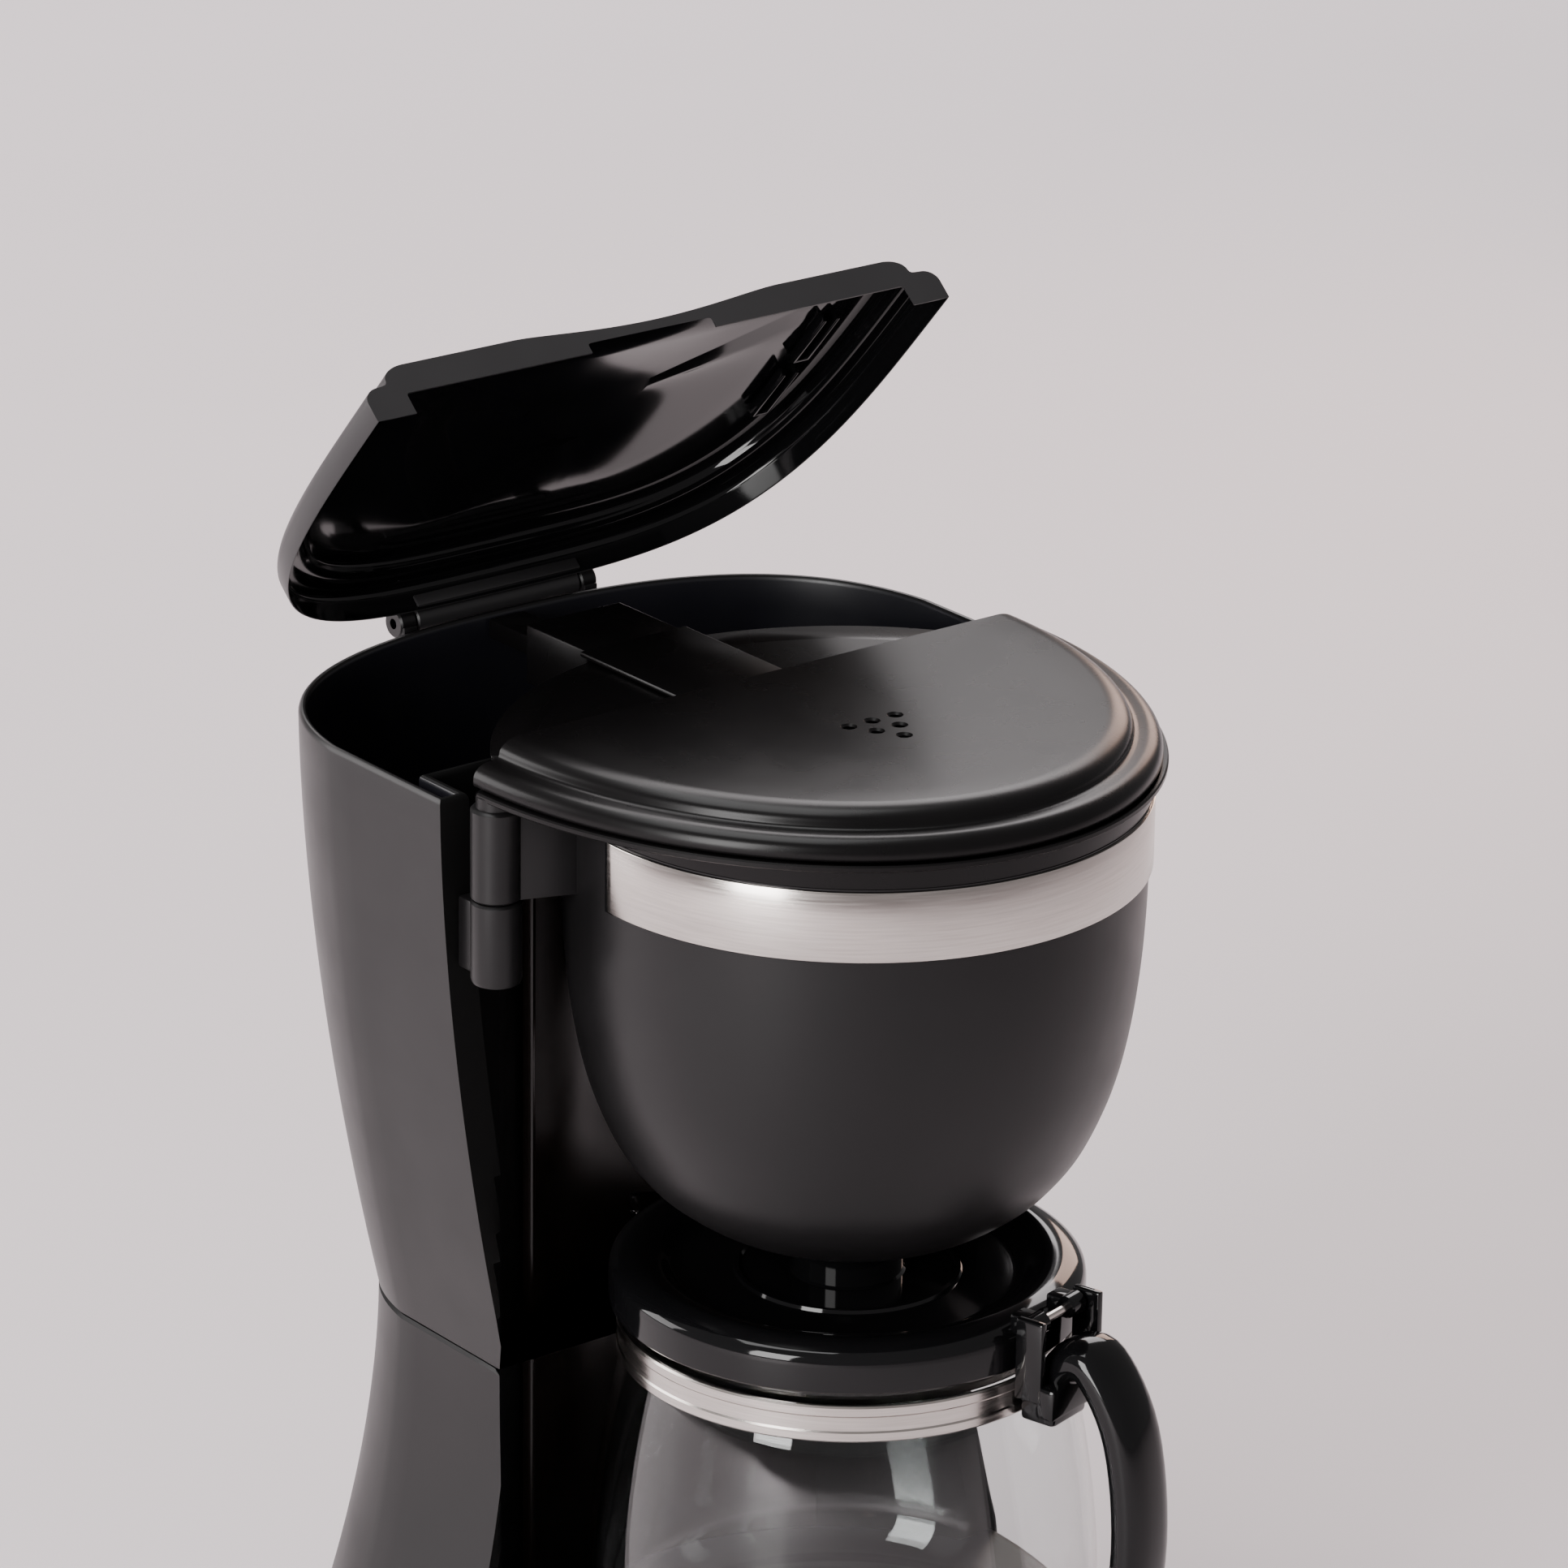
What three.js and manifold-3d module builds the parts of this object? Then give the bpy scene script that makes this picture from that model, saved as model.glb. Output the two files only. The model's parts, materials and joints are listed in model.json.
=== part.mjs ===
// Drip coffee maker: a tapering body with a lidded water tank, a round swing-out brew basket
// and a glass carafe on a hot plate. Millimetres, +Z up, the front faces -Y. The brew axis is
// the line x = 0, y = 0 until the last lines centre the machine on its footprint.

import * as THREE from 'three';
import { mergeVertices } from 'three/addons/utils/BufferGeometryUtils.js';
import Module from 'manifold-3d';

const wasm = await Module();
wasm.setup();

// ---- Driving dimensions ----

const gap = 0.4;                  // clearance between pieces that touch
const swingGap = 0.5;             // clearance over what swings or slides past
const wall = 2.4;                 // housing walls
const coverWall = 2.2;            // front cover and lid
const boreClearance = 0.4;        // radial clearance of hinge pins

const footHeight = 4;
const deckHeight = 40;            // top of the base deck
const seamHeight = 133;           // waist, where the two housings meet
const tankFloorHeight = 185;

const carafeHeight = 127.6;       // hot plate to the top of the carafe lid's boss
const carafeRadius = 67.5;
const carafeLidRadius = 62.4;
const carafeTurn = 15;            // degrees the handle is turned from the front

const bowlRadius = 75.2;          // outside of the brew bowl behind the band
const bowlDepth = 128.9;
const bowlWall = 2.2;
const bandHeight = 18.5;
const bandThickness = 0.8;
const bandDrop = 7.8;             // bowl rim down to the band's top edge
const panelReach = 11.8;          // bowl wall to the column panel
const columnReach = 15.8;         // bowl wall to the column wall
const sideRoom = 23.3;            // bowl wall to the outside of the body
const basketHingeReach = 19.7;    // bowl wall to the basket hinge axis
const knuckleRadius = 6.6;
const wingThickness = 9;
const wingSetBack = 10.975;       // basket hinge axis to the wings' front edge
const wingPocketDepth = 16;       // wings' front edge to the bottom of the recess beside the column
const riserSetBack = 18.1;        // column wall to the riser's axis

const coverBack = 38;             // straight back edge of the front cover
const coverFront = 77;            // front of the cover, ahead of the brew axis
const coverHeight = 10.6;         // cover lip to its flat top
const coverSetIn = 6;             // cover and lid inside the body's sides
const lidSetBack = 1.5;           // lid inside the tank rim's rear
const bodyRear = 154;             // rear of the tank rim, behind the brew axis
const cornerSetBack = 62;         // tank rim's rear to the crease on each side
const waistInset = 21;            // how far the sides draw in at the waist
const waistRearInset = 14;
const baseHalfWidth = 94;
const baseRear = 150;
const baseFront = 86;

const lidOpen = 48.5;             // degrees the lid stands open
const lidBarrelLength = 54;
const lidKnuckleLength = 5.2;
const lidBarrelRadius = 4;
const lidPinRadius = 1.5;
const plateRadius = 61;
const tubeRadius = 6;             // heater and riser tubes
const hoseWall = 2;
const basketPinRadius = 2.2;
const carafePinRadius = 1.2;
const pilotRadius = 2.4;          // screw holes in the base
const spigotX = -38;              // tank outlet, beside the riser tube
const steamHoleRadius = 1.6;
const steamHolePitch = 7.5;

// ---- Sizes that follow ----

const plateTop = deckHeight + 2.4;
const bowlBottom = plateTop + carafeHeight + 3;
const bowlTop = bowlBottom + bowlDepth + 0.4;
const coverLip = bowlTop + swingGap;
const coverTop = coverLip + coverHeight;
const rimHeight = bowlTop - 3.8;
const bandHigh = bowlTop - bandDrop;
const bandLow = bandHigh - bandHeight;
const knuckleLow = bandLow - 2.4;
const bandOuter = bowlRadius + 0.3 + bandThickness;
const halfWidth = bowlRadius + sideRoom;
const panelRadius = bowlRadius + panelReach;
const columnRadius = bowlRadius + columnReach;
const waistHalf = halfWidth - waistInset;
const waistRear = bodyRear - waistRearInset;
const crease = bodyRear - cornerSetBack;
const lidAxisY = bodyRear + 3.5;
const lidAxisZ = rimHeight + 1;
const basketHinge = new THREE.Vector2(-0.938, 0.348).multiplyScalar(bowlRadius + basketHingeReach);
const wingFront = basketHinge.y + wingSetBack;
const wingPocket = wingFront + wingPocketDepth;
const discRadius = bowlRadius + 6.8;
const headUnder = coverLip + gap;
const headTop = headUnder + 1.6;
const channelTop = headTop + 2;
const riserY = columnRadius + wall + riserSetBack;
const heaterZ = plateTop - 2.4 - tubeRadius;
const heaterRadius = plateRadius - 11 - tubeRadius;
const portX = heaterRadius / 2;
const portY = heaterRadius + 16;
const portZ = deckHeight - 8 - tubeRadius;

// ---- Materials ----

const finish = (color, roughness, metalness = 0) =>
  new THREE.MeshStandardMaterial({ color, roughness, metalness });
const satinBlack = finish(0x1c1b1d, 0.45);
const glossBlack = finish(0x0a0a0b, 0.12);
const panelBrown = finish(0x1d1412, 0.15);
const mattBlack = finish(0x161616, 0.7);
const steel = finish(0xb9bbbd, 0.32, 1);
const zinc = finish(0x8f9296, 0.4, 1);
const aluminium = finish(0xa5a8ab, 0.45, 1);
const silicone = finish(0xcfcac0, 0.6);
const rubber = finish(0x101010, 0.85);
const nonStick = finish(0x222224, 0.35, 0.6);
const clearGlass = new THREE.MeshStandardMaterial({
  color: 0xe6eeee, roughness: 0.05, transparent: true, opacity: 0.35,
});

// ---- Solids ----

// A closed geometry becomes a solid that can be cut and joined.
function solid(geometry) {
  const bare = geometry.clone();
  bare.deleteAttribute('normal');
  bare.deleteAttribute('uv');
  const merged = mergeVertices(bare, 1e-4);
  return new wasm.Manifold(new wasm.Mesh({
    numProp: 3,
    vertProperties: new Float32Array(merged.attributes.position.array),
    triVerts: new Uint32Array(merged.index.array),
  }));
}

// A cut or joined solid becomes a geometry again.
function shell(manifold) {
  const mesh = manifold.getMesh();
  const geometry = new THREE.BufferGeometry();
  geometry.setAttribute('position', new THREE.BufferAttribute(mesh.vertProperties, 3));
  geometry.setIndex(new THREE.BufferAttribute(mesh.triVerts, 1));
  geometry.computeVertexNormals();
  return geometry;
}

const join = (first, ...rest) => rest.reduce((a, b) => a.add(b), first);
const cut = (first, ...rest) => rest.reduce((a, b) => a.subtract(b), first);

// A box between two corners.
function block(x0, y0, z0, x1, y1, z1) {
  const box = new THREE.BoxGeometry(x1 - x0, y1 - y0, z1 - z0);
  return solid(box.translate((x0 + x1) / 2, (y0 + y1) / 2, (z0 + z1) / 2));
}

// A profile of [radius, height] points turned about the Z axis, anticlockwise in section.
function turned(profile, sides = 36) {
  const points = profile.map(([r, z]) => new THREE.Vector2(r, z));
  const first = points[0];
  const last = points[points.length - 1];
  if (first.x > 0 || last.x > 0) points.push(first.clone());
  return new THREE.LatheGeometry(points, sides).rotateX(Math.PI / 2);
}

// A rod or disc about a vertical axis at (x, y).
function rod(radius, z0, z1, x = 0, y = 0, sides = 24) {
  const cylinder = new THREE.CylinderGeometry(radius, radius, z1 - z0, sides);
  return solid(cylinder.rotateX(Math.PI / 2).translate(x, y, (z0 + z1) / 2));
}

// A rod along X at (y, z).
function crossRod(radius, x0, x1, y, z, sides = 20) {
  const cylinder = new THREE.CylinderGeometry(radius, radius, x1 - x0, sides);
  return solid(cylinder.rotateZ(Math.PI / 2).translate((x0 + x1) / 2, y, z));
}

// The radius at the corners of a many-sided bore whose flats clear a round of this radius.
const clearing = (radius, sides) => radius / Math.cos(Math.PI / sides);

// A round section drawn along a path of points; a hollow one when it has an inner radius.
function drawn(points, outer, inner = 0, steps = 24, sides = 10) {
  const ring = (r) => Array.from({ length: sides }, (_, i) => {
    const angle = (2 * Math.PI * i) / sides;
    return new THREE.Vector2(r * Math.cos(angle), r * Math.sin(angle));
  });
  const section = new THREE.Shape(ring(outer));
  if (inner) section.holes.push(new THREE.Path(ring(clearing(inner, sides))));
  const path = new THREE.CatmullRomCurve3(points.map((p) => new THREE.Vector3(...p)));
  return new THREE.ExtrudeGeometry(section, { steps, extrudePath: path });
}

const machine = new THREE.Group();

function add(name, geometry, material, parent = machine) {
  const mesh = new THREE.Mesh(geometry.isBufferGeometry ? geometry : shell(geometry), material);
  mesh.name = name;
  parent.add(mesh);
  return mesh;
}

// ---- Body outlines ----

// Plan of the body at one level: straight sides back to the crease, then a rounded rear.
const columnSides = 48;
const rearSquareness = 2.6;
const rearCentreShare = 0.32;

function rearCurve(half, rear, inset) {
  const centre = crease - rearCentreShare * cornerSetBack;
  const depth = rear - inset - centre;
  const side = half - inset;
  const atCrease = (1 - ((crease - centre) / depth) ** rearSquareness) ** (1 / rearSquareness);
  const reach = side / atCrease;
  const start = Math.acos(atCrease ** (rearSquareness / 2));
  const points = [];
  const count = 14;
  for (let i = 0; i <= count; i += 1) {
    const angle = start + ((Math.PI - 2 * start) * i) / count;
    const across = Math.abs(Math.cos(angle)) ** (2 / rearSquareness) * Math.sign(Math.cos(angle));
    const back = Math.sin(angle) ** (2 / rearSquareness);
    points.push(new THREE.Vector2(reach * across, centre + depth * back));
  }
  return points;
}

function bodyPlan(half, rear, front, inset = 0) {
  const side = half - inset;
  return new THREE.Shape([
    new THREE.Vector2(-side, front),
    new THREE.Vector2(side, front),
    ...rearCurve(half, rear, inset),
  ]);
}

// How far the body has drawn in at a height, from 0 at the tank rim to 1 at the waist.
function drawnIn(z) {
  if (z >= seamHeight) return Math.max(0, (rimHeight - z) / (rimHeight - seamHeight)) ** 1.75;
  return 1;
}

// Half width and rear of the body at a height; below the waist it flares into the base.
function bodySize(z) {
  const spread = THREE.MathUtils.clamp((seamHeight - z) / (seamHeight - deckHeight), 0, 1) ** 1.8;
  const half = halfWidth - waistInset * drawnIn(z);
  const rear = bodyRear - waistRearInset * drawnIn(z);
  return {
    half: half + (baseHalfWidth - waistHalf) * spread,
    rear: rear + (baseRear - waistRear) * spread,
  };
}

// A column of the body's plan between two heights, set in by a wall.
function bodyColumn(z0, z1, front, inset, steps) {
  const plan = bodyPlan(halfWidth, bodyRear, front, inset);
  const column = new THREE.ExtrudeGeometry(plan, { depth: z1 - z0, steps, bevelEnabled: false });
  column.translate(0, 0, z0);
  const place = column.attributes.position;
  for (let i = 0; i < place.count; i += 1) {
    const size = bodySize(place.getZ(i));
    const across = (size.half - inset) / (halfWidth - inset);
    place.setX(i, place.getX(i) * across);
    const past = place.getY(i) - crease;
    const deeper = (size.rear - inset - crease) / (bodyRear - inset - crease);
    if (past > 0) place.setY(i, crease + past * deeper);
  }
  return solid(column);
}

// The round bay in the column's front that the bowl and the carafe stand in.
const bay = (z0, z1, grow) => rod(columnRadius + grow, z0, z1, 0, 0, columnSides);

// The bay with a recess beside each wing, as high as the bowl needs it.
function wingedBay(z0, z1, grow) {
  const pocket = bodyColumn(z0, z1, 0, wingThickness - grow, 5);
  return join(bay(z0, z1, grow), pocket.intersect(block(-200, -1, z0, 200, wingPocket + grow, z1)));
}

// ---- Upper housing with the water tank ----

function upperHousing() {
  const foot = seamHeight + gap;
  const outside = cut(bodyColumn(foot, rimHeight, wingFront, 0, 6), wingedBay(foot - 1, rimHeight + 1, 0));
  const inside = cut(
    bodyColumn(foot - 1, rimHeight + 1, wingFront + wall, wall, 6),
    wingedBay(foot - 2, rimHeight + 2, wall),
  );
  const floor = block(-200, 0, tankFloorHeight, 200, 300, tankFloorHeight + wall);
  const ledge = cut(
    rod(columnRadius + wall, rimHeight - 1, coverLip, 0, 0, columnSides),
    rod(columnRadius, rimHeight - 2, coverLip + 1, 0, 0, columnSides),
  ).intersect(block(-wingPocket, wingPocket + wall, 0, wingPocket, 200, 400));
  const spigotOuter = rod(tubeRadius, tankFloorHeight - 16, tankFloorHeight + 1, spigotX, riserY);
  const spigotBore = rod(tubeRadius - 1.8, 0, tankFloorHeight + 20, spigotX, riserY);
  const riserHole = rod(tubeRadius + 2.6, tankFloorHeight - 2, tankFloorHeight + 6, 0, riserY);
  const knuckleEnd = lidBarrelLength / 2 + gap + lidKnuckleLength;
  const knuckles = [-1, 1].map((side) => {
    const inner = lidBarrelLength / 2 + gap;
    const x0 = side > 0 ? inner : -knuckleEnd;
    const eye = crossRod(lidBarrelRadius, x0, x0 + lidKnuckleLength, lidAxisY, lidAxisZ);
    const web = block(x0, bodyRear - 1.6, rimHeight - 9, x0 + lidKnuckleLength, lidAxisY, lidAxisZ);
    return join(eye, web);
  });
  const pinBore = crossRod(lidPinRadius + boreClearance, -60, 60, lidAxisY, lidAxisZ);
  const barrelRoom = lidBarrelLength / 2 + gap / 2;
  const barrelSeat = crossRod(lidBarrelRadius + gap, -barrelRoom, barrelRoom, lidAxisY, lidAxisZ);
  return cut(
    join(cut(outside, cut(inside, floor)), ledge, spigotOuter, ...knuckles),
    spigotBore, riserHole, pinBore, barrelSeat,
  );
}

add('upper_housing', upperHousing(), satinBlack);

// ---- Lower housing: the base and the foot of the column ----

const deckHoleRadius = plateRadius + 1;
const bossRadius = 5;
const bossPlaces = [
  [-baseHalfWidth + 22, -2], [baseHalfWidth - 22, -2],
  [-baseHalfWidth + 7, crease + 4], [baseHalfWidth - 7, crease + 4],
];

function basePlan(inset) {
  const side = baseHalfWidth - inset;
  const reach = baseFront + coverBack - inset;
  const nose = new THREE.EllipseCurve(0, coverBack, side, reach, Math.PI, 2 * Math.PI);
  return new THREE.Shape([...nose.getPoints(20), ...rearCurve(baseHalfWidth, baseRear, inset)]);
}

// The base slab between two heights, its top edge rounded over.
function baseSlab(z0, z1, inset, roundOver) {
  const slab = new THREE.ExtrudeGeometry(basePlan(inset), {
    depth: z1 - z0 - roundOver, bevelEnabled: roundOver > 0, bevelSegments: 2,
    bevelThickness: roundOver, bevelSize: roundOver, bevelOffset: -roundOver,
  });
  const low = roundOver ? cut(solid(slab.translate(0, 0, z0)), block(-200, -200, z0 - 20, 200, 300, z0))
    : solid(slab.translate(0, 0, z0));
  return low;
}

const switchZ = 22;
const switchHole = { x: 10.3, z: 9.4 };
const glandZ = 24;
const glandRadius = 7;

function lowerHousing() {
  const columnTop = seamHeight;
  const column = cut(
    bodyColumn(deckHeight - 6, columnTop, wingFront, 0, 4),
    bay(deckHeight, columnTop + 1, 0),
  );
  const hollow = cut(
    bodyColumn(-2, columnTop + 1, wingFront + wall, wall, 5),
    bay(deckHeight - wall, columnTop + 2, wall),
  );
  const baseHollow = baseSlab(-2, deckHeight - wall, wall, 0);
  const plateHole = rod(deckHoleRadius, 0, deckHeight + 1, 0, 0, 48);
  const bossLow = footHeight + wall + gap;
  const bosses = bossPlaces.map(([x, y]) => rod(bossRadius, bossLow, deckHeight - 1, x, y, 16));
  const inPlan = baseSlab(0, deckHeight, wall / 2, 0);
  const pilots = bossPlaces.map(([x, y]) => rod(pilotRadius, 0, footHeight + 16, x, y, 12));
  const switchOpening = block(
    -switchHole.x, -200, switchZ - switchHole.z, switchHole.x, -40, switchZ + switchHole.z,
  );
  const glandOpening = rod(glandRadius + gap, -200, -60, 0, glandZ).rotate([90, 0, 0]);
  return cut(
    join(cut(join(baseSlab(footHeight, deckHeight, 0, 4), column), hollow, baseHollow, plateHole),
      ...bosses.map((boss) => boss.intersect(inPlan))),
    ...pilots, switchOpening, glandOpening,
  );
}

add('lower_housing', lowerHousing(), satinBlack);

// ---- Base cover, feet and screws ----

const footPlaces = [[-62, -36], [62, -36], [-74, 112], [74, 112]]
  .map(([x, y]) => [(x * baseHalfWidth) / 94, y > 0 ? baseRear - 38 : y]);

function baseCover() {
  const plate = baseSlab(footHeight, footHeight + wall, wall + gap, 0);
  const feet = footPlaces.map(([x, y]) => rod(3 + gap, 0, 20, x, y, 16));
  const screws = bossPlaces.map(([x, y]) => rod(pilotRadius, 0, 20, x, y, 12));
  return cut(plate, ...feet, ...screws);
}

add('base_cover', baseCover(), mattBlack);

footPlaces.forEach(([x, y], i) => {
  const profile = [[0, 0], [7.5, 0], [9, 1.2], [9, footHeight - gap], [3, footHeight - gap],
    [3, footHeight + wall + 1.5], [0, footHeight + wall + 1.5]];
  add(`foot_${i + 1}`, turned(profile, 12), rubber).position.set(x, y, 0);
});

bossPlaces.forEach(([x, y], i) => {
  const top = footHeight - gap;
  const profile = [[0, top - 1.8], [3, top - 1.8], [3.8, top - 0.8], [3.8, top], [1.9, top],
    [1.9, footHeight + 12], [0, footHeight + 13]];
  add(`base_screw_${i + 1}`, turned(profile, 12), zinc).position.set(x, y, 0);
});

// ---- Column panel ----

function columnPanel() {
  const half = THREE.MathUtils.degToRad(34);
  const low = deckHeight + 2;
  const high = rimHeight - 7;
  const steps = 12;
  const arc = (radius, from, to) => Array.from({ length: Math.abs(to - from) + 1 }, (_, i) => {
    const angle = Math.PI / 2 - half + (2 * half * (from + Math.sign(to - from) * i)) / steps;
    return new THREE.Vector2(radius * Math.cos(angle), radius * Math.sin(angle));
  });
  const backRadius = columnRadius * Math.cos(Math.PI / columnSides) - gap;
  const plate = arc(panelRadius, 0, steps);
  const inner = arc(panelRadius + 1.8, steps - 1, 1);
  const returns = [arc(backRadius, steps, steps - 1), inner, arc(backRadius, 1, 0)];
  const section = new THREE.Shape([...plate, ...returns.flat()]);
  const panel = new THREE.ExtrudeGeometry(section, { depth: high - low, bevelEnabled: false });
  return panel.translate(0, 0, low);
}

add('column_panel', columnPanel(), panelBrown);

// ---- Top covers ----

// Rim of the cover and the lid, from the lip up to the flat top: [inset from the lip, rise].
const rimSteps = [
  [0, 0], [0.3, 1.8], [2.9, 4.9], [5.2, 5.5], [7.2, 5.7], [8.2, 7.3], [10.4, 9.7], [15.6, coverHeight],
];
const coverHalf = halfWidth - coverSetIn;
const lidRear = bodyRear - lidSetBack;
const lidSquareness = 3.6;
const lidLip = rimHeight + gap;

// Spreads a round cap over the plan: half an ellipse in front, a squarer curve at the rear.
function spreadOverPlan(geometry) {
  const core = coverHalf - 24;
  const place = geometry.attributes.position;
  for (let i = 0; i < place.count; i += 1) {
    const x = place.getX(i);
    const y = place.getY(i);
    const r = Math.hypot(x, y);
    const squareness = y > 0 ? 2 / lidSquareness : 1;
    const reach = y > 0 ? lidRear - coverBack : coverFront + coverBack;
    const share = (value) => (r > 1e-6 ? Math.sign(value) * Math.abs(value / r) ** squareness : 0);
    const deep = r + (reach - coverHalf) * Math.min(1, r / core);
    place.setX(i, r * share(x));
    place.setY(i, coverBack + deep * share(y));
  }
  return solid(geometry);
}

// The outer skin of both covers, whole, from a lip height up; inset makes it smaller all round.
function topSkin(lip, inset) {
  const ring = ([back, rise]) => [coverHalf - back - inset, (rise ? coverLip : lip) + rise - inset];
  const rings = rimSteps.map(ring);
  rings[0][1] = lip;
  return spreadOverPlan(turned([[0, lip], ...rings, [0, coverTop - inset]], 48));
}

const channelHalf = 17.5;
const everything = 300;
const ahead = (y) => block(-everything, -everything, 0, everything, y, 2 * everything);
const behind = (y) => block(-everything, y, 0, everything, everything, 2 * everything);

const flangeThickness = 1.8;      // D-shaped flange of the bowl, below the cover
const flangeOverhang = 1.5;
const flangeSetBack = 3.4;

function frontCover() {
  const hollow = topSkin(coverLip - 5, coverWall).intersect(ahead(coverBack - coverWall));
  const cap = cut(topSkin(coverLip, 0), hollow);
  const discRoom = rod(discRadius + gap, coverLip - 1, headTop + gap, 0, 0, columnSides);
  const holes = [0, 1, 2].flatMap((row) => Array.from({ length: 3 - row }, (_, i) => {
    const x = (i - (2 - row) / 2) * steamHolePitch;
    return rod(steamHoleRadius, coverTop - 10, coverTop + 5, x, -6 - row * steamHolePitch * 0.866, 12);
  }));
  const flangeRoom = rod(columnRadius + wall, coverLip - 1, headTop + gap, 0, 0, columnSides);
  const wayHalf = channelHalf + gap;
  const waterWay = block(-wayHalf, 0, coverLip, wayHalf, everything, channelTop + gap);
  const headRoom = join(discRoom, flangeRoom, waterWay);
  const backRoom = headRoom.intersect(behind(coverBack - coverWall - 1));
  return cut(cap.intersect(ahead(coverBack)), backRoom, ...holes);
}

add('front_cover', frontCover(), satinBlack);

// The lid is modelled closed and its group is turned open about the rear hinge.
const lid = new THREE.Group();
lid.position.set(0, lidAxisY, lidAxisZ);
lid.rotation.x = THREE.MathUtils.degToRad(-lidOpen);
machine.add(lid);

const apronHeight = 8.3;
const apronFullSide = 12;         // from the lid's side to where the apron is full height

function tankLid() {
  const apronBottom = coverTop - apronHeight;
  const front = coverBack + 0.8;
  const hollow = topSkin(lidLip - 5, coverWall).intersect(behind(front + coverWall));
  const mouth = block(
    -coverHalf + apronFullSide, front - 1, 0, coverHalf - apronFullSide, front + coverWall + 1, apronBottom,
  );
  const notch = block(
    -channelHalf - 4.5, front - 1, 0, channelHalf + 0.5, front + coverWall + 1, apronBottom + 3,
  );
  const cap = topSkin(lidLip, 0).intersect(behind(front));
  const barrelHalf = lidBarrelLength / 2;
  const barrel = crossRod(lidBarrelRadius, -barrelHalf, barrelHalf, lidAxisY, lidAxisZ);
  const webTop = lidAxisZ + lidBarrelRadius;
  const web = block(-barrelHalf, lidRear - 1.6, lidAxisZ + 0.4, barrelHalf, lidAxisY, webTop);
  const bore = crossRod(lidPinRadius + boreClearance, -barrelHalf - 1, barrelHalf + 1, lidAxisY, lidAxisZ);
  const closed = cut(join(cut(cap, hollow, mouth, notch), barrel, web), bore);
  return closed.translate([0, -lidAxisY, -lidAxisZ]);
}

add('tank_lid', tankLid(), satinBlack, lid);

const lidPinEnd = lidBarrelLength / 2 + lidKnuckleLength + gap;
add('lid_hinge_pin', crossRod(lidPinRadius, -lidPinEnd, lidPinEnd, lidAxisY, lidAxisZ, 12), steel);

// ---- Brew head ----

const sprayRadius = 24;
const channelRear = riserY + 9.5;
const channelUnder = headTop - 15;

function headPlate() {
  const flange = rod(columnRadius + wall - gap, headUnder, headTop, 0, 0, columnSides);
  const disc = rod(discRadius, headUnder, headTop, 0, 0, columnSides);
  const underCover = topSkin(coverLip - 5, coverWall + gap).intersect(ahead(coverBack));
  const flangeHalf = coverHalf - apronFullSide - gap;
  const rearFlange = flange.intersect(
    block(-flangeHalf, coverBack - 0.01, 0, flangeHalf, everything, 500),
  );
  const overBowl = join(flange, disc).intersect(underCover);
  const rearDisc = disc.intersect(behind(coverBack - 0.01));
  const hook = cut(
    rod(columnRadius - gap, headUnder - 7, headUnder + 0.5, 0, 0, columnSides),
    rod(columnRadius - gap - 1.8, headUnder - 8, headUnder, 0, 0, columnSides),
  ).intersect(block(-wingPocket + 8, wingPocket, 0, wingPocket - 8, everything, 500));
  const guides = [-1, 1].map((side) => block(
    side * 9 - 1, sprayRadius - 2, headTop - 0.5, side * 9 + 1, coverBack - coverWall - gap, channelTop,
  ));
  const plate = join(rearFlange, hook, overBowl, rearDisc, ...guides);
  return cut(plate, rod(sprayRadius + gap, 0, 500, 0, 0, 24));
}

add('head_plate', headPlate(), satinBlack);

function sprayHead() {
  const dish = turned([
    [0, headUnder], [sprayRadius, headUnder], [sprayRadius, headUnder + 2.6],
    [sprayRadius - 2, headUnder + 2.6], [sprayRadius - 3, headUnder + 1.2], [0, headUnder + 1.2],
  ], 24);
  const jets = Array.from({ length: 6 }, (_, i) => {
    const angle = (Math.PI * i) / 3;
    return rod(1.4, 0, 500, 13 * Math.cos(angle), 13 * Math.sin(angle), 6);
  });
  return cut(solid(dish), ...jets);
}

add('spray_head', sprayHead(), mattBlack);

function waterChannel() {
  const front = columnRadius + wall + gap;
  const bridge = block(
    -channelHalf, coverBack - 1, headTop + gap, channelHalf, front + 0.6, channelTop,
  );
  const wellHalf = channelHalf - 2;
  const well = block(-wellHalf, front, channelUnder, wellHalf, channelRear, channelTop);
  const tail = block(-6, channelRear - 1, rimHeight - 6.5, 6, bodyRear - wall - 2 * gap, rimHeight - 1);
  const duct = block(-8, 0, headTop, 8, riserY, channelTop - 0.9);
  const socket = rod(tubeRadius + gap, 0, channelTop - 0.9, 0, riserY);
  return cut(join(bridge, well, tail), duct, socket);
}

add('water_channel', waterChannel(), satinBlack);

// ---- Brew bowl ----

const basket = new THREE.Group();
machine.add(basket);

// Outside of the bowl, from the rim down: [radius, depth below the rim].
const bowlSide = [
  [bowlRadius, 0], [bowlRadius, 26.7], [bowlRadius - 1.2, 54.3], [bowlRadius - 5.4, 80.3],
  [bowlRadius - 8.6, 91.3], [bowlRadius - 14, 103.3], [bowlRadius - 20, 111.3],
  [bowlRadius - 25.4, 116.8], [bowlRadius - 34.6, 123.7], [bowlRadius - 45.4, 127.7],
  [bowlRadius - 55, bowlDepth],
];

const bowlSides = 40;

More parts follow.
